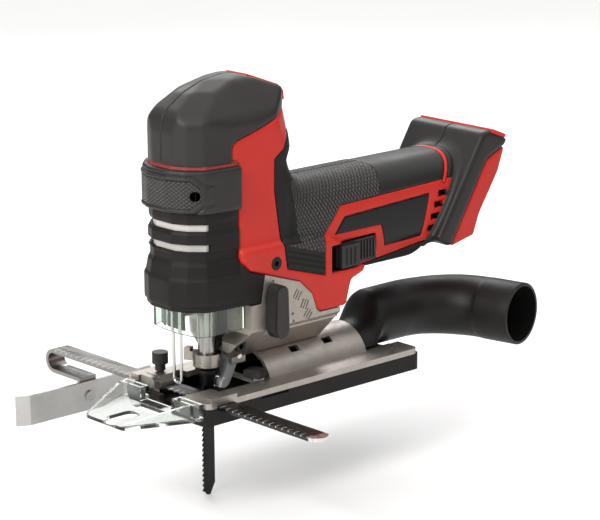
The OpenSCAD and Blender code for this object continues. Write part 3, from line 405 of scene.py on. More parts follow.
# name, colour, roughness, grains per mm, grain depth in mm, how the grain is drawn out
cast = metal("cast_aluminium", (0.41, 0.37, 0.33), 0.48, 1.1, 0.09, other=(0.35, 0.315, 0.28))
plate = metal("base_aluminium", (0.43, 0.395, 0.36), 0.44, 1.0, 0.05, other=(0.35, 0.32, 0.29))
steel = metal("turned_steel", (0.46, 0.44, 0.42), 0.30, 1.0, 0.02, (0.6, 0.6, 7.0))
bright = metal("bright_steel", (0.52, 0.515, 0.50), 0.16, 0.6, 0.008)
# the plunger rod's steel is darkened as painted shade, for the shadow it lies in behind the clear shield
rod_steel_painted_shade = metal("rod_steel_painted_shade", (0.34, 0.33, 0.32), 0.24, 0.8, 0.02, (4.0, 4.0, 0.2))
collar_steel = metal("collar_steel", (0.33, 0.30, 0.265), 0.30, 1.0, 0.02, (0.6, 0.6, 7.0))
# bright plated steel, lightened further and made half metallic as painted light: the fork sits in the body's
# shade here, and this makes it look lit from the front
fork_steel_painted_light = metal("fork_steel_painted_light", (0.80, 0.82, 0.84), 0.36, 1.2, 0.03)
fork_steel_painted_light.set("Metallic", 0.5)
brushed = metal("brushed_steel", (0.52, 0.51, 0.50), 0.33, 1.6, 0.03, (0.12, 1.0, 6.0))
dark = metal("dark_steel", (0.03, 0.03, 0.03), 0.40, 1.2, 0.02)
blued = metal("blade_steel", (0.035, 0.035, 0.037), 0.36, 0.9, 0.02, (1.0, 1.0, 0.15))
bar_steel = metal("bar_steel", (0.050, 0.048, 0.047), 0.30, 1.0, 0.02, (1.0, 0.12, 1.0))
bronze = metal("bronze", (0.62, 0.42, 0.2), 0.38)
copper = metal("copper_wire", (0.65, 0.3, 0.16), 0.35, 1.5, 0.08, (6.0, 1.0, 1.0))

# the fence bar is blacked up to its bracket and bare beyond it, with printed graduations and a bare end
TICK_PITCH, TICK_START = 5.0, -108.0
TICK_SHARE = 0.12               # width of a graduation, as a share of the pitch
TICK_REACH, TICK_FLOOR = -18.6, 9.9  # the graduations lie on the bar's top, at its front edge
BAR_TIP, BLACKED_TO = -108.6, 27.0   # along y
at_x, at_y, at_z = bar_steel.position()
turns = bar_steel.math("DIVIDE", bar_steel.math("SUBTRACT", at_y, TICK_START), TICK_PITCH)
tick = bar_steel.math("LESS_THAN", bar_steel.math("FRACT", turns), TICK_SHARE)
tick = bar_steel.math("MULTIPLY", tick, bar_steel.math("LESS_THAN", at_x, TICK_REACH))
tick = bar_steel.math("MULTIPLY", tick, bar_steel.math("GREATER_THAN", at_z, TICK_FLOOR))
bar_steel.print_over(bar_steel.math("GREATER_THAN", at_y, BLACKED_TO), (0.25, 0.24, 0.23))
bare = bar_steel.math("LESS_THAN", at_y, BAR_TIP)
bar_steel.print_over(bar_steel.math("MAXIMUM", tick, bare), (0.62, 0.61, 0.59))

# clear pieces
clear = Look("clear_plastic", (0.94, 0.975, 0.95), 0.04, 0.0, IOR=1.38, Transmission_Weight=1.0)
clear.bump(clear.noise(0.12, 3.0), 0.03, 0.4)
clear.vary_rough(clear.noise(0.3, 5.0), 0.03, 0.14)
shield = Look("shield_plastic", (0.80, 0.89, 0.82), 0.04, 0.0, IOR=1.38, Transmission_Weight=1.0)
shield.bump(shield.noise(0.35, 3.0, (1.0, 1.0, 0.12)), 0.12, 0.6)
shield.vary_rough(shield.noise(0.3, 5.0), 0.03, 0.14)
lamp = Look("lamp_lens", (0.93, 0.93, 0.88), 0.2, 0.0, IOR=1.49, Transmission_Weight=0.7)
lamp.bump(lamp.noise(1.0, 3.0), 0.05)


# ---------------------------------------------------------------- forms, in mm
CELL = 0.5          # grid step of the smaller forms
RING_REAR = 2.85    # the ring and the cover end here, against the red shells
HALF_GAP = 0.06     # half of the seam between two moulded halves
# rounded rear end of the head's outline from above, left side
HEAD_REAR = [(20, -25.5), (33, -23.8), (41.3, -18.4), (47.1, -12.4), (50.5, -5)]


def flanks(points):
    """Closes an outline of the tool's left side with its mirror image."""
    return points + [(x, -y) for x, y in reversed(points)]


def whole(f, y):
    """A field known for y <= 0, mirrored to the other side; y = 0 is one of the grid's planes."""
    keep = f[:, :int(np.argmin(np.abs(y[0, :, 0]))) + 1, :]
    return np.concatenate([keep, keep[:, -2::-1, :]], 1)


def box(x_range, half_w, z_range):
    """A block across the tool's centre plane, in the grid in use."""
    return both(both(slab(x, *x_range), np.abs(y) - half_w), slab(z, *z_range))


def head_plan(x, y, d, rear=80):
    """The head's outline seen from above, grown by d."""
    return poly(x, y, flanks([(-30.8 - d, -8), (-26.8 - 0.95 * d, -16.5 - 0.4 * d),
                              (-19.3 - 0.6 * d, -23.8 - 0.75 * d), (-2, -25.5 - d), (rear, -25.5 - d)]))


def rear_plan(x, y):
    """Only the rounded rear end of the head's plan."""
    return poly(x, y, flanks([(-80, -60), (20, -60)] + HEAD_REAR))


def flip_side(mesh):
    """Mirrors a mesh to the other side of the centre plane."""
    mesh.transform(Matrix.Scale(-1, 4, (0, 1, 0)))
    mesh.flip_normals()


def mirror_right(piece, name):
    """The same piece on the other side of the centre plane."""
    mesh = piece.data.copy()
    flip_side(mesh)
    return place(name, mesh, piece["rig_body"], piece.data.materials[0])


# cap: two moulded halves and the red strip on the rear slope of the roof
CAP_SIDE = [(-31, 120), (-30.4, 160), (-29, 167), (-26.4, 171.6), (-15, 179.2), (0, 185), (13, 186.6),
            (21.5, 186.2), (46.6, 176.8), (50.3, 173), (51.5, 164), (51.5, 120)]
CAP_FRONT = flanks([(120, -27), (160, -27), (167.5, -23.4), (184.2, -12.5), (187, -6)])
CORNER_SIDE = [(-38, 100), (-38, 150), (-30.6, 163), (-29.8, 166.2), (-26.4, 170.6), (-14, 180), (0, 185.1),
               (12, 187.6), (80, 200), (80, 100)]
CORNER_TURN = math.radians(45.8)
CAP_AREA = [(-60, 142), (-1.4, 142), (-1.4, 151), (2, 154), (29, 161.5), (43, 167.2), (80, 167.2), (80, 200),
            (-60, 200)]
STRIP_SIDE = [(24, 184.3), (24, 186.2), (46.9, 177.6), (51, 173.5), (51.6, 168.4), (50, 168.4),
              (49.4, 172.6), (45.9, 176)]
CAP_BLUR, CAP_WALL = 2.7, 2.6
STRIP_HALF_W, STRIP_GAP = 9, 0.15
low = (-34, -30, 138)
x, y, z = grid(low, (63, 2, 190), CELL)
cap = both(both(poly(x, z, CAP_SIDE), poly(z, y, CAP_FRONT)), both(head_plan(x, y, 0), rear_plan(x, y)))
for side in (-1, 1):
    cap = both(cap, poly(x * math.cos(CORNER_TURN) + side * y * math.sin(CORNER_TURN), z, CORNER_SIDE))
cap = blur(cap, CAP_BLUR)
cap_wall = without(cap, cap + CAP_WALL)
strip = both(poly(x, z, STRIP_SIDE), slab(y, -STRIP_HALF_W, STRIP_HALF_W))
half = both(both(cap_wall, poly(x, z, CAP_AREA), 0.8), y + HALF_GAP, 0.5)
half = without(half, strip - STRIP_GAP, 0.3)
cap_left = surface("cap_left_shell", half, low, CELL, "housing", black.material)
mirror_right(cap_left, "cap_right_shell")
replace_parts(cap_left, "cap_left", "cap_right")
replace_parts(surface("cap_strip_whole", whole(strip, y), low, CELL, "housing", red.material), "cap_strip")

# front ring with its bead and pad
RING_PROUD, RING_LOW, RING_TOP, RING_BLUR = 3.2, 116, 140.6, 2.2
BEAD_PROUD, BEAD_LOW, BEAD_TOP = 0.5, 140, 141.3
ROOT_PROUD, ROOT_TOP, BEAD_WALL = -0.35, 143.2, 1.2  # the bead's root reaches up inside the cap
PAD_FRONT = [(-24.6, 123.4), (-20.9, 119.3), (20.9, 119.3), (24.6, 123.4), (24.6, 130.9), (20.9, 135),
             (-20.9, 135), (-24.6, 130.9)]
PAD_REAR, PAD_PROUD, PAD_BACK = -17.5, 0.45, 0.8
RIM_AT, RIM_HALF_W, RIM_H = 1.1, 1.0, 0.85  # raised rim round the pad
GROOVE_AT, GROOVE_HALF_W, GROOVE_DEPTH = 2.6, 0.35, 0.5
KEY_HOLE_AT, KEY_HOLE_R = (-24.6, -21.4, 126.6), 2.9
KEY_HOLE_ACROSS = (0.669, -0.743)  # direction along the corner's face
low = (-38, -31, 112)
x, y, z = grid(low, (6, 2, 144), CELL)
inner = head_plan(x, y, 0)
ring = blur(both(head_plan(x, y, RING_PROUD), slab(z, RING_LOW, RING_TOP)), RING_BLUR)
bead = both(head_plan(x, y, BEAD_PROUD), slab(z, BEAD_LOW, BEAD_TOP))
bead = either(bead, both(head_plan(x, y, ROOT_PROUD), slab(z, BEAD_LOW, ROOT_TOP)))
pad_area = both(poly(y, z, PAD_FRONT), x - PAD_REAR)
beside_key = ((x - KEY_HOLE_AT[0]) * KEY_HOLE_ACROSS[0] + (y - KEY_HOLE_AT[1]) * KEY_HOLE_ACROSS[1]) ** 2
key_hole = np.sqrt(beside_key + (z - KEY_HOLE_AT[2]) ** 2) - KEY_HOLE_R
pad_rim = np.abs(pad_area - RIM_AT) - RIM_HALF_W
groove = both(np.abs(pad_area - GROOVE_AT) - GROOVE_HALF_W, -(ring + GROOVE_DEPTH))
ring_body = either(ring, both(ring - RIM_H, pad_rim, 0.5), 0.3)
ring_body = without(ring_body, groove, 0.3)
ring_body = both(without(without(ring_body, inner), key_hole, 0.4), x - RING_REAR, 0.8)
ring_whole = surface("grip_ring_whole", whole(ring_body, y), low, CELL, "housing", black.material)
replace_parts(ring_whole, "grip_ring")
pad = both(both(ring - PAD_PROUD, -(ring + PAD_BACK)), pad_area + 0.1, 0.5)
pad = whole(without(pad, key_hole, 0.4), y)
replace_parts(surface("ring_pad_whole", pad, low, CELL, "housing", hatch.material), "ring_pad")
line = whole(both(without(bead, inner + BEAD_WALL), x - RING_REAR), y)
surface("ring_line", line, low, CELL, "housing", dull_red.material)

# lower cover: a waist with two slots above a flared skirt
COVER_LOW, COVER_TOP, COVER_FLOOR, COVER_WALL = 61, 117, 63.4, 2.5
# how far the cover stands outside the head's plan at each height, as (height, proud) pairs
COVER_PROFILE = [(61, 1.8), (63.6, 1.9), (64.2, 3.0), (66, 3.2), (78.5, 3.2), (79.3, 2.9), (79.8, 2.2),
                 (87, 0.9), (88, 0.1), (89.5, -0.4), (93.5, -0.4), (94.6, 0.6), (104.6, 0.6), (105.4, -0.2),
                 (110.4, -0.4), (112, 0.0), (116, 0.0)]
TAIL_Y = (-28.6, -25.6)
TAIL_SIDE = [(2, 86), (8.3, 79.8), (19.3, 76.2), (16.3, 60.5), (2, 61)]
SLOTS = ((106.2, 109.9), (94.9, 98.9))
SLOT_END = [(-60, -17.6), (-17.6, -17.6), (-14.8, -30), (-60, -30)]
SLOT_X, SLOT_Y = -17.6, -19.5
COLLAR_BORE_R, OPENING_X = 8.6, (-1, 6)
COVER_BLUR, TAIL_BLUR = 0.7, 1.0
low = (-38, -31, 58)
x, y, z = grid(low, (22, 2, 119), CELL)
proud = np.interp(z, *zip(*COVER_PROFILE)).astype(np.float32)
cover = both(head_plan(x, y, 0) - proud, slab(z, COVER_LOW, COVER_TOP))
cover = blur(cover, COVER_BLUR)
cover = both(cover, x - RING_REAR, 0.6)
tail = both(slab(y, *TAIL_Y), poly(x, z, TAIL_SIDE))
cover = either(cover, blur(tail, TAIL_BLUR))
cover = without(cover, both(head_plan(x, y, -COVER_WALL, 4), slab(z, COVER_FLOOR, 120)))
for slot in SLOTS:
    cut = both(poly(x, y, SLOT_END), slab(z, *slot))
    cut = either(cut, both(both(slab(y, SLOT_Y, 30), x - SLOT_X), slab(z, *slot)))
    cover = without(cover, cut, 0.5)
bore = np.sqrt(x * x + y * y) - COLLAR_BORE_R
opening = either(bore, both(slab(x, *OPENING_X), slab(y, -COLLAR_BORE_R, 30)))
cover = without(cover, opening)
cover_whole = surface("head_cover_whole", whole(cover, y), low, CELL, "housing", cover_black.material)
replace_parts(cover_whole, "head_cover")

# opaque black sheet behind the clear shield, put there as painted shade for the shaded cavity behind it
SHADE_SHEET_PLAN = [(-19.8, -5), (-19.8, 12), (-17.2, 17.4), (-14.4, 19.6), (8.6, 19.6), (8.6, 18.4), (-13.9, 18.4),
            (-16.2, 16.6), (-18.6, 11.7), (-18.6, -5)]
SHADE_SHEET_Z = (46.6, 62)
low = (-22, -7, 45)
x, y, z = grid(low, (10, 21, 64), CELL)
lip = both(poly(x, y, SHADE_SHEET_PLAN), slab(z, *SHADE_SHEET_Z), 0.4)
surface("shade_sheet_behind_shield", lip, low, CELL, "housing", black.material)

# sizes and areas of the one body that the red shells, soft grip, sleeve and gloss plates are cut from
LEAN = math.radians(32.2)         # the battery foot leans back by this
FOOT_X, FOOT_Z = 152.8, 73.5      # origin of the foot's own frame
BARREL_H, BARREL_W = 30.5, 24.6   # half height and half width
SQUARE = 0.72                     # 1 gives the barrel a round section, less makes it squarer
BARREL_SCALE = 27                 # turns the section's ratio into a distance in mm
HEAD_SIDE = [(3, 142), (-1.4, 142), (-1.4, 151), (2, 154), (29, 161.5), (43, 167.2), (60, 167.2), (60, 118),
             (64, 112), (64, 74), (3, 84)]
SKIRT_SIDE = [(3, 92), (3, 86), (8.3, 79.8), (19.3, 76.2), (45.4, 67.5), (54.5, 58.8), (58, 49.2), (60.5, 47),
              (81.3, 47), (85.5, 61.5), (96, 65), (97, 73), (72, 88), (40, 92)]
RED_AREA = [(-3, 142), (-3, 151.2), (2, 154.2), (29, 161.7), (43, 167.4), (62, 167.4), (62, 156), (47, 152.6),
            (29.7, 139.7), (29.2, 122.5), (36, 76.6), (64.9, 67.9), (64.7, 87.6), (80.6, 105.1), (112.6, 106),
            (200, 108.5), (200, 74), (146, 72), (113, 67), (97.5, 64), (85.5, 60), (84, 40), (-3, 40)]
SLEEVE_AREA = [(119, 130), (112.6, 106), (200, 108.5), (200, 130)]
PLATE_AREA = [(75.5, 88.6), (83.5, 98.4), (152.3, 101.2), (146, 76), (116.7, 75), (112.5, 88.6)]
SWITCH_POCKET = [(70, 67.8), (70, 83.6), (108, 84.6), (110.5, 69.2)]
VENTS = [(163, 99.5), (159.6, 93.2), (156.8, 86.4), (154.6, 79.6)]
VENT_HALF_L, VENT_HALF_H = 3.6, 1.8
VENT_FLOOR = 14                   # the vents are cut in to this distance from the centre plane
BARREL_FRONT, BARREL_FILLET, FOOT_GAP = 46, 7, 0.3
SKIRT_HALF_W, SKIRT_FILLET = 28.5, 2.5
# the head's rear end is waisted at the web of the hand: height, and how far it is drawn in (less than 0: out)
WAIST = [(118, -4.2), (125, -4.2), (135, -1.4), (143, -3.6), (150, -2.6), (166, 0.3)]
WALL, BODY_BLUR = 2.5, 1.9
# the hollow's square parts, as x range, half width and z range
ROOMS = (((7, 62), 25.7, (40, 82)), ((61, 84.6), 25.7, (40, 74.2)), ((-40, 10), 22.9, (50, 164)))
SEAM = 0.07          # gap at the edge of the red, soft and glossy areas
PLATE_DEPTH = 1.0
SCREW_AT, SCREW_SEAT_R, SCREW_SEAT_Y, SCREW_RIM = (27.8, 81.2), 3.7, -26.9, 1.75
POCKET_DEPTH = 3.2
GAP_U, GAP_W, GAP_DEPTH = (-8.7, -5.3), (33, 80), 1.3

# the common body: head, barrel and skirt joined, and the hollow inside it
STEP = 0.6
low = (-4, -31.2, 44)
x, y, z = grid(low, (182, 1.2, 169), STEP)
foot_u = (x - FOOT_X) * math.cos(LEAN) - (z - FOOT_Z) * math.sin(LEAN)
foot_w = (x - FOOT_X) * math.sin(LEAN) + (z - FOOT_Z) * math.cos(LEAN)
waist = np.interp(z, *zip(*WAIST)).astype(np.float32)
head = both(both(head_plan(x, y, 0), rear_plan(x, y) + waist), poly(x, z, HEAD_SIDE), 2)
squashed = (np.abs(y) / BARREL_W) ** (2 / SQUARE) + (np.abs(z - BARREL_Z) / BARREL_H) ** (2 / SQUARE)
barrel = (squashed ** (SQUARE / 2) - 1) * BARREL_SCALE
barrel = both(both(barrel + 0 * x, foot_u - FOOT_GAP), BARREL_FRONT - x)
flare = both(np.abs(y) - SKIRT_HALF_W, poly(x, z, SKIRT_SIDE))
body = either(either(head, barrel, BARREL_FILLET), flare, SKIRT_FILLET)
body = blur(body, BODY_BLUR)
hollow = body + WALL
for room in ROOMS:
    hollow = either(hollow, box(*room))
wall_field = without(body, hollow)

# the areas it is divided into, and the gap round the barrel in front of the foot
red_2d = poly(x, z, RED_AREA)
sleeve_2d = poly(x, z, SLEEVE_AREA)
plate_2d = poly(x, z, PLATE_AREA)
pocket_2d = poly(x, z, SWITCH_POCKET)
soft_2d = both(-red_2d, -sleeve_2d)
ring_gap = both(slab(foot_u, *GAP_U), -(body + GAP_DEPTH))
ring_gap = both(ring_gap, slab(foot_w, *GAP_W))

# red shells: a bed for the gloss plate and vents, and on the left a screw seat and the switch pocket
red_shell = both(wall_field, red_2d + SEAM, 0.9)
red_shell = without(red_shell, both(plate_2d - SEAM, -(body + PLATE_DEPTH)), 0.5)
for vent_x, vent_z in VENTS:
    vent = both(slab(x, vent_x - VENT_HALF_L, vent_x + VENT_HALF_L),
                slab(z, vent_z - VENT_HALF_H, vent_z + VENT_HALF_H))
    red_shell = without(red_shell, both(vent, y + VENT_FLOOR), 0.6)
red_shell = without(red_shell, ring_gap)
screw = np.sqrt((x - SCREW_AT[0]) ** 2 + (z - SCREW_AT[1]) ** 2) - SCREW_SEAT_R
open_red = without(red_shell, both(screw, y - SCREW_SEAT_Y), 0.4)
open_red = without(open_red, both(screw + SCREW_RIM, y + 20))
pocket = both(pocket_2d, y + BARREL_W - POCKET_DEPTH)
left_red = both(without(open_red, pocket, 0.8), y)
shell_left = surface("shell_left_red", left_red, low, STEP, "housing", red.material)
shell_right = surface("shell_right_red", both(red_shell, y), low, STEP, "housing", red.material)
flip_side(shell_right.data)
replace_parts(shell_left, "shell_left")
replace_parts(shell_right, "shell_right")

# soft grip: dots on the barrel, ribs along its lower front edge
RIB_START, RIB_ALONG, RIB_PITCH, RIB_H = (36, 76.6), (0.2884, 0.9575), 3.0, 0.38
RIB_SINK, RIBS_END = 0.3, 11.5
RIBBED_ACROSS, RIBBED_X = (-2, 13.2), (20, 70)
GRIP_PROUD, GRIP_THICK = 0.45, 2.4


def rib_distance(x, z):
    """How far a place lies above the first rib of the grip's lower front edge."""
    return (x - RIB_START[0]) * RIB_ALONG[0] + (z - RIB_START[1]) * RIB_ALONG[1]


def plain_grip(x, z):
    """Where the soft grip carries no dots: its ribs, its front edge, under the head, its lower edge."""
    plain = (rib_distance(x, z) < 12.4) & (x < 68)
    plain |= (x < 47 - (z - 76) * 0.05) & (z > 90)
    plain |= (z > 124) & (x < 58)
    return plain | (z < 76)


rib_s = rib_distance(x, z)
ribbed = both(slab(rib_s, *RIBBED_ACROSS), slab(x, *RIBBED_X))
rib_wave = np.where(rib_s < RIBS_END, RIB_H * np.cos(rib_s * (2 * math.pi / RIB_PITCH)), 0.0)
relief = np.where(ribbed < 0, rib_wave - RIB_SINK, 0.0)
grip = both(both(body - GRIP_PROUD - relief, soft_2d + SEAM, 1.1), -(body + GRIP_THICK))
grip = both(without(grip, ring_gap), y)
grip_left = surface("grip_left_soft", grip, low, STEP, "housing", dots.material)
grip_left.data.materials.append(soft.material)
verts = np.zeros(len(grip_left.data.vertices) * 3, np.float32)
grip_left.data.vertices.foreach_get("co", verts)
verts = verts.reshape(-1, 3) * (1 / MM)
is_plain = plain_grip(verts[:, 0], verts[:, 2])
faces = np.zeros(len(grip_left.data.polygons) * 4, np.int32)
grip_left.data.polygons.foreach_get("vertices", faces)
slots = is_plain[faces.reshape(-1, 4)].any(1).astype(np.int32)
grip_left.data.polygons.foreach_set("material_index", slots)
grip_right = mirror_right(grip_left, "grip_right_soft")
grip_right.data.materials.append(soft.material)
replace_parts(grip_left, "grip_left")
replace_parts(grip_right, "grip_right")

# rear sleeve, gloss plates and the red band in front of the foot
SLEEVE_PROUD = 0.1
GLOSS_SUNK, GLOSS_BACK, GLOSS_GAP = 0.25, 1.1, 0.12
BAND_U, BAND_W, BAND_PROUD, BAND_BACK = (-8.1, -6.0), (33.3, 80), 0.25, 1.2
sleeve = both(both(body - SLEEVE_PROUD, sleeve_2d + SEAM, 0.8), -(body + GRIP_THICK))
sleeve = whole(without(sleeve, ring_gap), y)
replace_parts(surface("rear_sleeve_whole", sleeve, low, STEP, "housing", satin.material), "rear_sleeve")
gloss_plate = both(both(body + GLOSS_SUNK, plate_2d + GLOSS_GAP, 0.4), -(body + GLOSS_BACK))
plate_left = surface("plate_left_gloss", gloss_plate, low, STEP, "housing", gloss.material)
plate_right = mirror_right(plate_left, "plate_right_gloss")
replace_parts(plate_left, "plate_left")
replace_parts(plate_right, "plate_right")
band = both(body - BAND_PROUD, -(body + BAND_BACK))
band = both(both(band, slab(foot_u, *BAND_U), 0.4), slab(foot_w, *BAND_W))
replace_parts(surface("foot_ring_whole", whole(band, y), low, STEP, "housing", red.material), "foot_ring")

# battery foot, built in its own leaning frame
FOOT_SIDE = [(0.2, 0), (0.2, 69.8), (5, 74), (21.5, 77), (22, 72), (12.2, 57.6), (12.9, 0.8)]
# the neck runs out over the barrel's top only, the red sides run on to the foot
NECK_SIDE = [(-4.4, 90), (-4.4, 30.5), (-0.6, 27.5), (-0.6, -10), (4, -10), (4, 90)]
NECK_SCALE, NECK_INSET, NECK_FILLET = 26, 0.6, 5
FOOT_HALF_W, FOOT_BLUR = 31, 2.8
# rooms inside the foot, as x range, half width and z range
FOOT_ROOMS = (((2.8, 10), 28.4, (5, 66)), ((-20, 6), 16, (9, 50)), ((6, 40), 14, (18, 40)))
RAIL_LIP = [(7, 72.9), (22.2, 75.7), (22.4, 78.1), (7, 75.6)]
RAIL_SIDE = [(12.9, 1), (12.3, 57.4), (21.9, 71.6), (25.2, 56), (24.5, 28), (27, 14.7)]
RAIL_HALF_W, RAIL_BLUR = 30.4, 1.4
LIP_HALF_W, LIP_CORNER, LIP_GAP = 30.6, 49.3, 0.15
LIP_LEG = ((20.8, 22.4), 26, (71.2, 76.5))
# openings in the rail frame, each with the rounding of its edge
RAIL_OPENINGS = ((((15.4, 40), 21, (-9, 52)), 0.4), (((15.4, 19.6), 24.5, (-9, 52)), 0.3),
                 (((10, 16), 14, (18, 40)), 0.0))
lean_frame = Matrix.Translation((FOOT_X * MM, 0, FOOT_Z * MM)) @ Matrix.Rotation(LEAN, 4, "Y")
low = (-13, -33, -5)
x, y, z = grid(low, (30, 2, 81), CELL)
foot = both(poly(x, z, FOOT_SIDE), np.abs(y) - FOOT_HALF_W)
foot = blur(foot, FOOT_BLUR)
neck_z = (x * -math.sin(LEAN) + z * math.cos(LEAN)) + FOOT_Z - BARREL_Z
across = (np.abs(y) / (BARREL_W - NECK_INSET)) ** (2 / SQUARE)
neck = (across + (np.abs(neck_z) / (BARREL_H - NECK_INSET)) ** (2 / SQUARE)) ** (SQUARE / 2)
neck = both((neck - 1) * NECK_SCALE, poly(x, z, NECK_SIDE))
foot = either(foot, neck, NECK_FILLET)
foot = without(foot, poly(x, z, RAIL_LIP) + 0 * y - LIP_GAP)
for room in FOOT_ROOMS:
    foot = without(foot, box(*room))
foot_left = surface("foot_left_shell", both(foot, y + HALF_GAP, 0.5), low, CELL, "housing", satin.material)
foot_left.data.transform(lean_frame)
mirror_right(foot_left, "foot_right_shell")
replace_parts(foot_left, "foot_left", "foot_right")

# red frame of the battery's rails, with the lip over the foot's top
rail = blur(both(poly(x, z, RAIL_SIDE), np.abs(y) - RAIL_HALF_W), RAIL_BLUR)
for opening, rounding in RAIL_OPENINGS:
    rail = without(rail, box(*opening), rounding)
lip = both(poly(x, z, RAIL_LIP), np.abs(y) - LIP_HALF_W, 0.4)
rail = either(rail, both(lip, (np.abs(y) + x - LIP_CORNER) * 0.707, 0.5))
rail = either(rail, box(*LIP_LEG))
rail_whole = surface("rail_frame_whole", whole(rail, y), low, CELL, "housing", red.material)
rail_whole.data.transform(lean_frame)
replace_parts(rail_whole, "rail_frame")

# ---------------------------------------------------------------- dust tube, swept along its own bend
TUBE_Z, TUBE_START, TUBE_WALL, TUBE_END = 26.0, 120, 1.7, 24.0
BEND_R, BEND_X, BEND, BEND_STEPS = 44.0, 148.0, math.radians(78), 26
BEVEL_Z = 6.0        # the base tilts about this height, which is the saddle's centre
PLUG_R, PLUG_LOW, PLUG_GROWTH = 19.0, 13.4, 0.8
RING_POINTS = 72
# stations along x: how far the plug's outline has grown, and how far it has turned into the round run
STATIONS = [(92, 0.0, 0.0), (105.4, 0.0, 0.0), (106.2, 0.35, 0.0), (108, 0.8, 0.0), (110, 1.0, 0.02),
            (112.5, 1.0, 0.10), (115, 1.0, 0.26), (117.5, 1.0, 0.46), (120, 1.0, 0.67), (122.5, 1.0, 0.85),
            (125, 1.0, 0.97), (127.5, 1.0, 1.0)]
STRAIGHT_X = (131, 136, 142, 147)
# outer radius of the round tube against the length run since TUBE_START
RADIUS_PROFILE = [(0, 17.0), (28, 17.1), (44, 17.3), (58, 17.9), (70, 18.35), (88, 18.45), (89, 18.7),
                  (120, 18.7)]
# the straight end piece: length run since the bend, and how far its edge is rounded off there
END_RUNS = [(0.8, 0), (1.6, 0), (2.4, 0), (8, 0), (16, 0), (TUBE_END - 0.5, 0), (TUBE_END - 0.12, 0.08),
            (TUBE_END, 0.3)]


def tube_radius(run):
    """The round tube's outer radius after a length of run."""
    return float(np.interp(run, *zip(*RADIUS_PROFILE)))


def plug_point(angle, r, floor):
    """A point of the half-round plug's outline: the arc above the floor, the flat below it."""
    y, z = r * math.cos(angle), BEVEL_Z + r * math.sin(angle)
    if z >= floor:
        return y, z
    return y * math.sqrt(r * r - (floor - BEVEL_Z) ** 2) / r, floor


def circle(center, across, r):
    """A ring round a centre; across is the ring's horizontal direction."""
    ring = []
    for i in range(RING_POINTS):
        a = 2 * math.pi * i / RING_POINTS
        ring.append((center[0] + r * math.cos(a) * across[0], center[1] + r * math.cos(a) * across[1],
                     center[2] + r * math.sin(a)))
    return ring


def tube_rings(shrink):
    """Rings of points from the plug in the saddle, through the blend, run and bend, to the open end."""
    rings = []
    for at_x, grow, rise in STATIONS:
        ring, share = [], rise * rise * (3 - 2 * rise)
        for i in range(RING_POINTS):
            a = 2 * math.pi * i / RING_POINTS
            plug_y, plug_z = plug_point(a, PLUG_R + PLUG_GROWTH * grow - shrink, PLUG_LOW + shrink)
            r = tube_radius(0) - shrink
            ring.append((at_x, plug_y + (r * math.cos(a) - plug_y) * share,
                         plug_z + (TUBE_Z + r * math.sin(a) - plug_z) * share))
        rings.append(ring)
    for at_x in STRAIGHT_X:
        rings.append(circle((at_x, 0, TUBE_Z), (0, 1), tube_radius(at_x - TUBE_START) - shrink))
    for k in range(BEND_STEPS + 1):
        turned = BEND * k / BEND_STEPS
        center = (BEND_X + BEND_R * math.sin(turned), -BEND_R + BEND_R * math.cos(turned), TUBE_Z)
        rings.append(circle(center, (math.sin(turned), math.cos(turned)),
                            tube_radius(BEND_X - TUBE_START + BEND_R * turned) - shrink))
    end = (BEND_X + BEND_R * math.sin(BEND), -BEND_R + BEND_R * math.cos(BEND))
    for run, round_off in END_RUNS:
        center = (end[0] + math.cos(BEND) * run, end[1] - math.sin(BEND) * run, TUBE_Z)
        radius = tube_radius(BEND_X - TUBE_START + BEND_R * BEND + run)
        rings.append(circle(center, (math.sin(BEND), math.cos(BEND)), radius - round_off - shrink))
    return rings


# the outer skin out to the open end, then the inner skin back to the plug, closed into one loop
loop = tube_rings(0.0) + tube_rings(TUBE_WALL)[::-1]
verts = [v for ring in loop for v in ring]
faces = []
for r in range(len(loop)):
    here, ahead = r * RING_POINTS, (r + 1) % len(loop) * RING_POINTS
    for i in range(RING_POINTS):
        j = (i + 1) % RING_POINTS
        faces.append((here + i, here + j, ahead + j, ahead + i))
mesh = bpy.data.meshes.new("dust_tube_hose")
mesh.from_pydata([tuple(c * MM for c in v) for v in verts], [], faces)
mesh.update()
bm = bmesh.new()
bm.from_mesh(mesh)
bmesh.ops.recalc_face_normals(bm, faces=bm.faces)
bm.to_mesh(mesh)
bm.free()
mesh.shade_smooth()
mesh.set_sharp_from_angle(angle=math.radians(40))
tube = place("dust_tube_hose", mesh, "dust_tube", hose.material)
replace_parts(tube, "dust_tube")

# ---------------------------------------------------------------- CAD nodes that only take a finish
FINISH = {
    "slot_liner": liner, "contact_block": black, "battery_contacts": bronze, "gear_housing": cast,
    "chip_shield": shield, "wire_guard": bright, "led_lens": lamp, "shell_screws": dark,
    "housing_screws": dark, "switch_module": black, "control_board": board, "stator": steel,
    "windings": copper, "motor_bearings": steel, "plunger_bushes": bronze, "fork_pin": bright,
    "rotor_shaft": steel, "rotor_core": steel, "cooling_fan": black, "drive_gear": steel,
    "counterweight": steel, "plunger_rod": rod_steel_painted_shade, "yoke": steel, "blade_holder": dark,
    "saw_blade": blued, "release_collar": collar_steel, "pendulum_fork": fork_steel_painted_light,
    "guide_roller": bright, "orbital_lever": black, "switch_slider": black, "base_plate": plate,
    "sole_shoe": cover_black, "line_indicator": clear, "fence_bracket": plate, "bevel_lever": brushed,
    "lever_tip": black, "thumb_screw": black, "fence_bar": bar_steel, "fence_plate": brushed,
    "fence_rivet": bright}
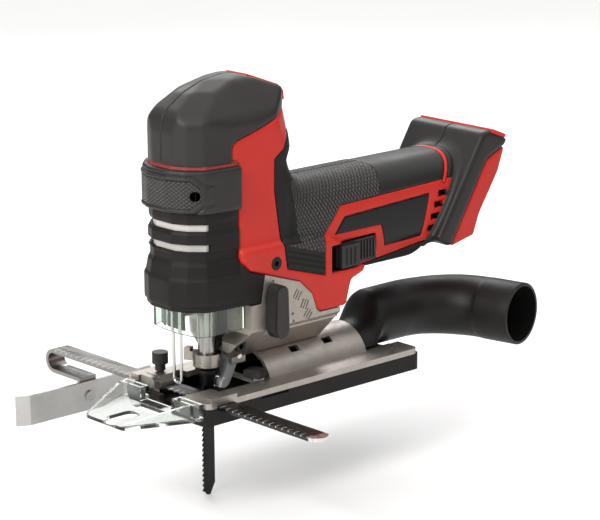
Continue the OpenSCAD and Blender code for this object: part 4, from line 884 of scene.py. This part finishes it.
# radius in mm of the rounding on each one's edges
ROUNDED = {
    "gear_housing": 0.7, "base_plate": 0.5, "sole_shoe": 0.7, "orbital_lever": 0.9, "switch_slider": 0.5,
    "release_collar": 0.4, "fence_plate": 0.25, "fence_bar": 0.25, "lever_tip": 0.7, "bevel_lever": 0.25,
    "chip_shield": 0.4, "line_indicator": 0.3, "pendulum_fork": 0.25, "blade_holder": 0.3,
    "guide_roller": 0.25, "thumb_screw": 0.25, "fence_bracket": 0.3, "contact_block": 0.3,
    "fence_rivet": 0.4}
ROUNDED_FROM = math.radians(28)  # edges sharper than this are rounded
for name, look in FINISH.items():
    node = frame["nodes"][name]
    node.data.materials.clear()
    node.data.materials.append(look.material)
    if name in ROUNDED:
        bevel = node.modifiers.new("rounded", "BEVEL")
        bevel.width = ROUNDED[name] * MM
        bevel.segments = 3
        bevel.limit_method = "ANGLE"
        bevel.angle_limit = ROUNDED_FROM
        bevel.use_clamp_overlap = True
        bevel.harden_normals = True

# ---------------------------------------------------------------- floor and light, in metres
FLOOR_HALF, FLOOR_Z = 6, -0.0548  # level with the blade's tip, to 0.1 mm
WORLD_COLOR, WORLD_STRENGTH = (1.0, 0.98, 0.955, 1.0), 0.23
corners = [(side_x * FLOOR_HALF, side_y * FLOOR_HALF, FLOOR_Z)
           for side_x, side_y in ((-1, -1), (1, -1), (1, 1), (-1, 1))]
mesh = bpy.data.meshes.new("floor")
mesh.from_pydata(corners, [], [(0, 1, 2, 3)])
floor = bpy.data.objects.new("floor", mesh)
scene.collection.objects.link(floor)
ground = Look("floor_paper", (0.90, 0.90, 0.90), 0.8)
ground.bump(ground.noise(0.8, 4.0), 0.05, 0.4)
ground.vary_color(ground.noise(0.004, 4.0), (0.875, 0.875, 0.875), 0.3, 0.8)
mesh.materials.append(ground.material)

world = bpy.data.worlds.new("studio")
scene.world = world
world.use_nodes = True
world.node_tree.nodes["Background"].inputs["Color"].default_value = WORLD_COLOR
world.node_tree.nodes["Background"].inputs["Strength"].default_value = WORLD_STRENGTH
scene.view_settings.view_transform = "Standard"


def softbox(name, at, target, size, watts, color=(1, 1, 1)):
    """A rectangular area light at a place, turned to its target."""
    data = bpy.data.lights.new(name, "AREA")
    data.shape = "RECTANGLE"
    data.size, data.size_y = size
    data.energy = watts
    data.color = color
    light = bpy.data.objects.new(name, data)
    scene.collection.objects.link(light)
    aim = Vector(target) - Vector(at)
    light.matrix_world = Matrix.Translation(at) @ aim.to_track_quat("-Z", "Y").to_matrix().to_4x4()


softbox("overhead", (0.5, 0.5, 2.4), (0.5, 0.5, 0.0), (6.5, 6.5), 168.0)
softbox("key", (-1.15, -0.2, 0.8), (0.03, 0, 0.08), (0.5, 0.8), 16.0, (1.0, 0.975, 0.94))
softbox("side", (0.1, -1.3, 0.6), (0.06, 0, 0.08), (0.9, 0.4), 2.0)
softbox("rim", (0.7, 0.9, 0.8), (0.08, 0, 0.1), (0.8, 0.4), 5.0)
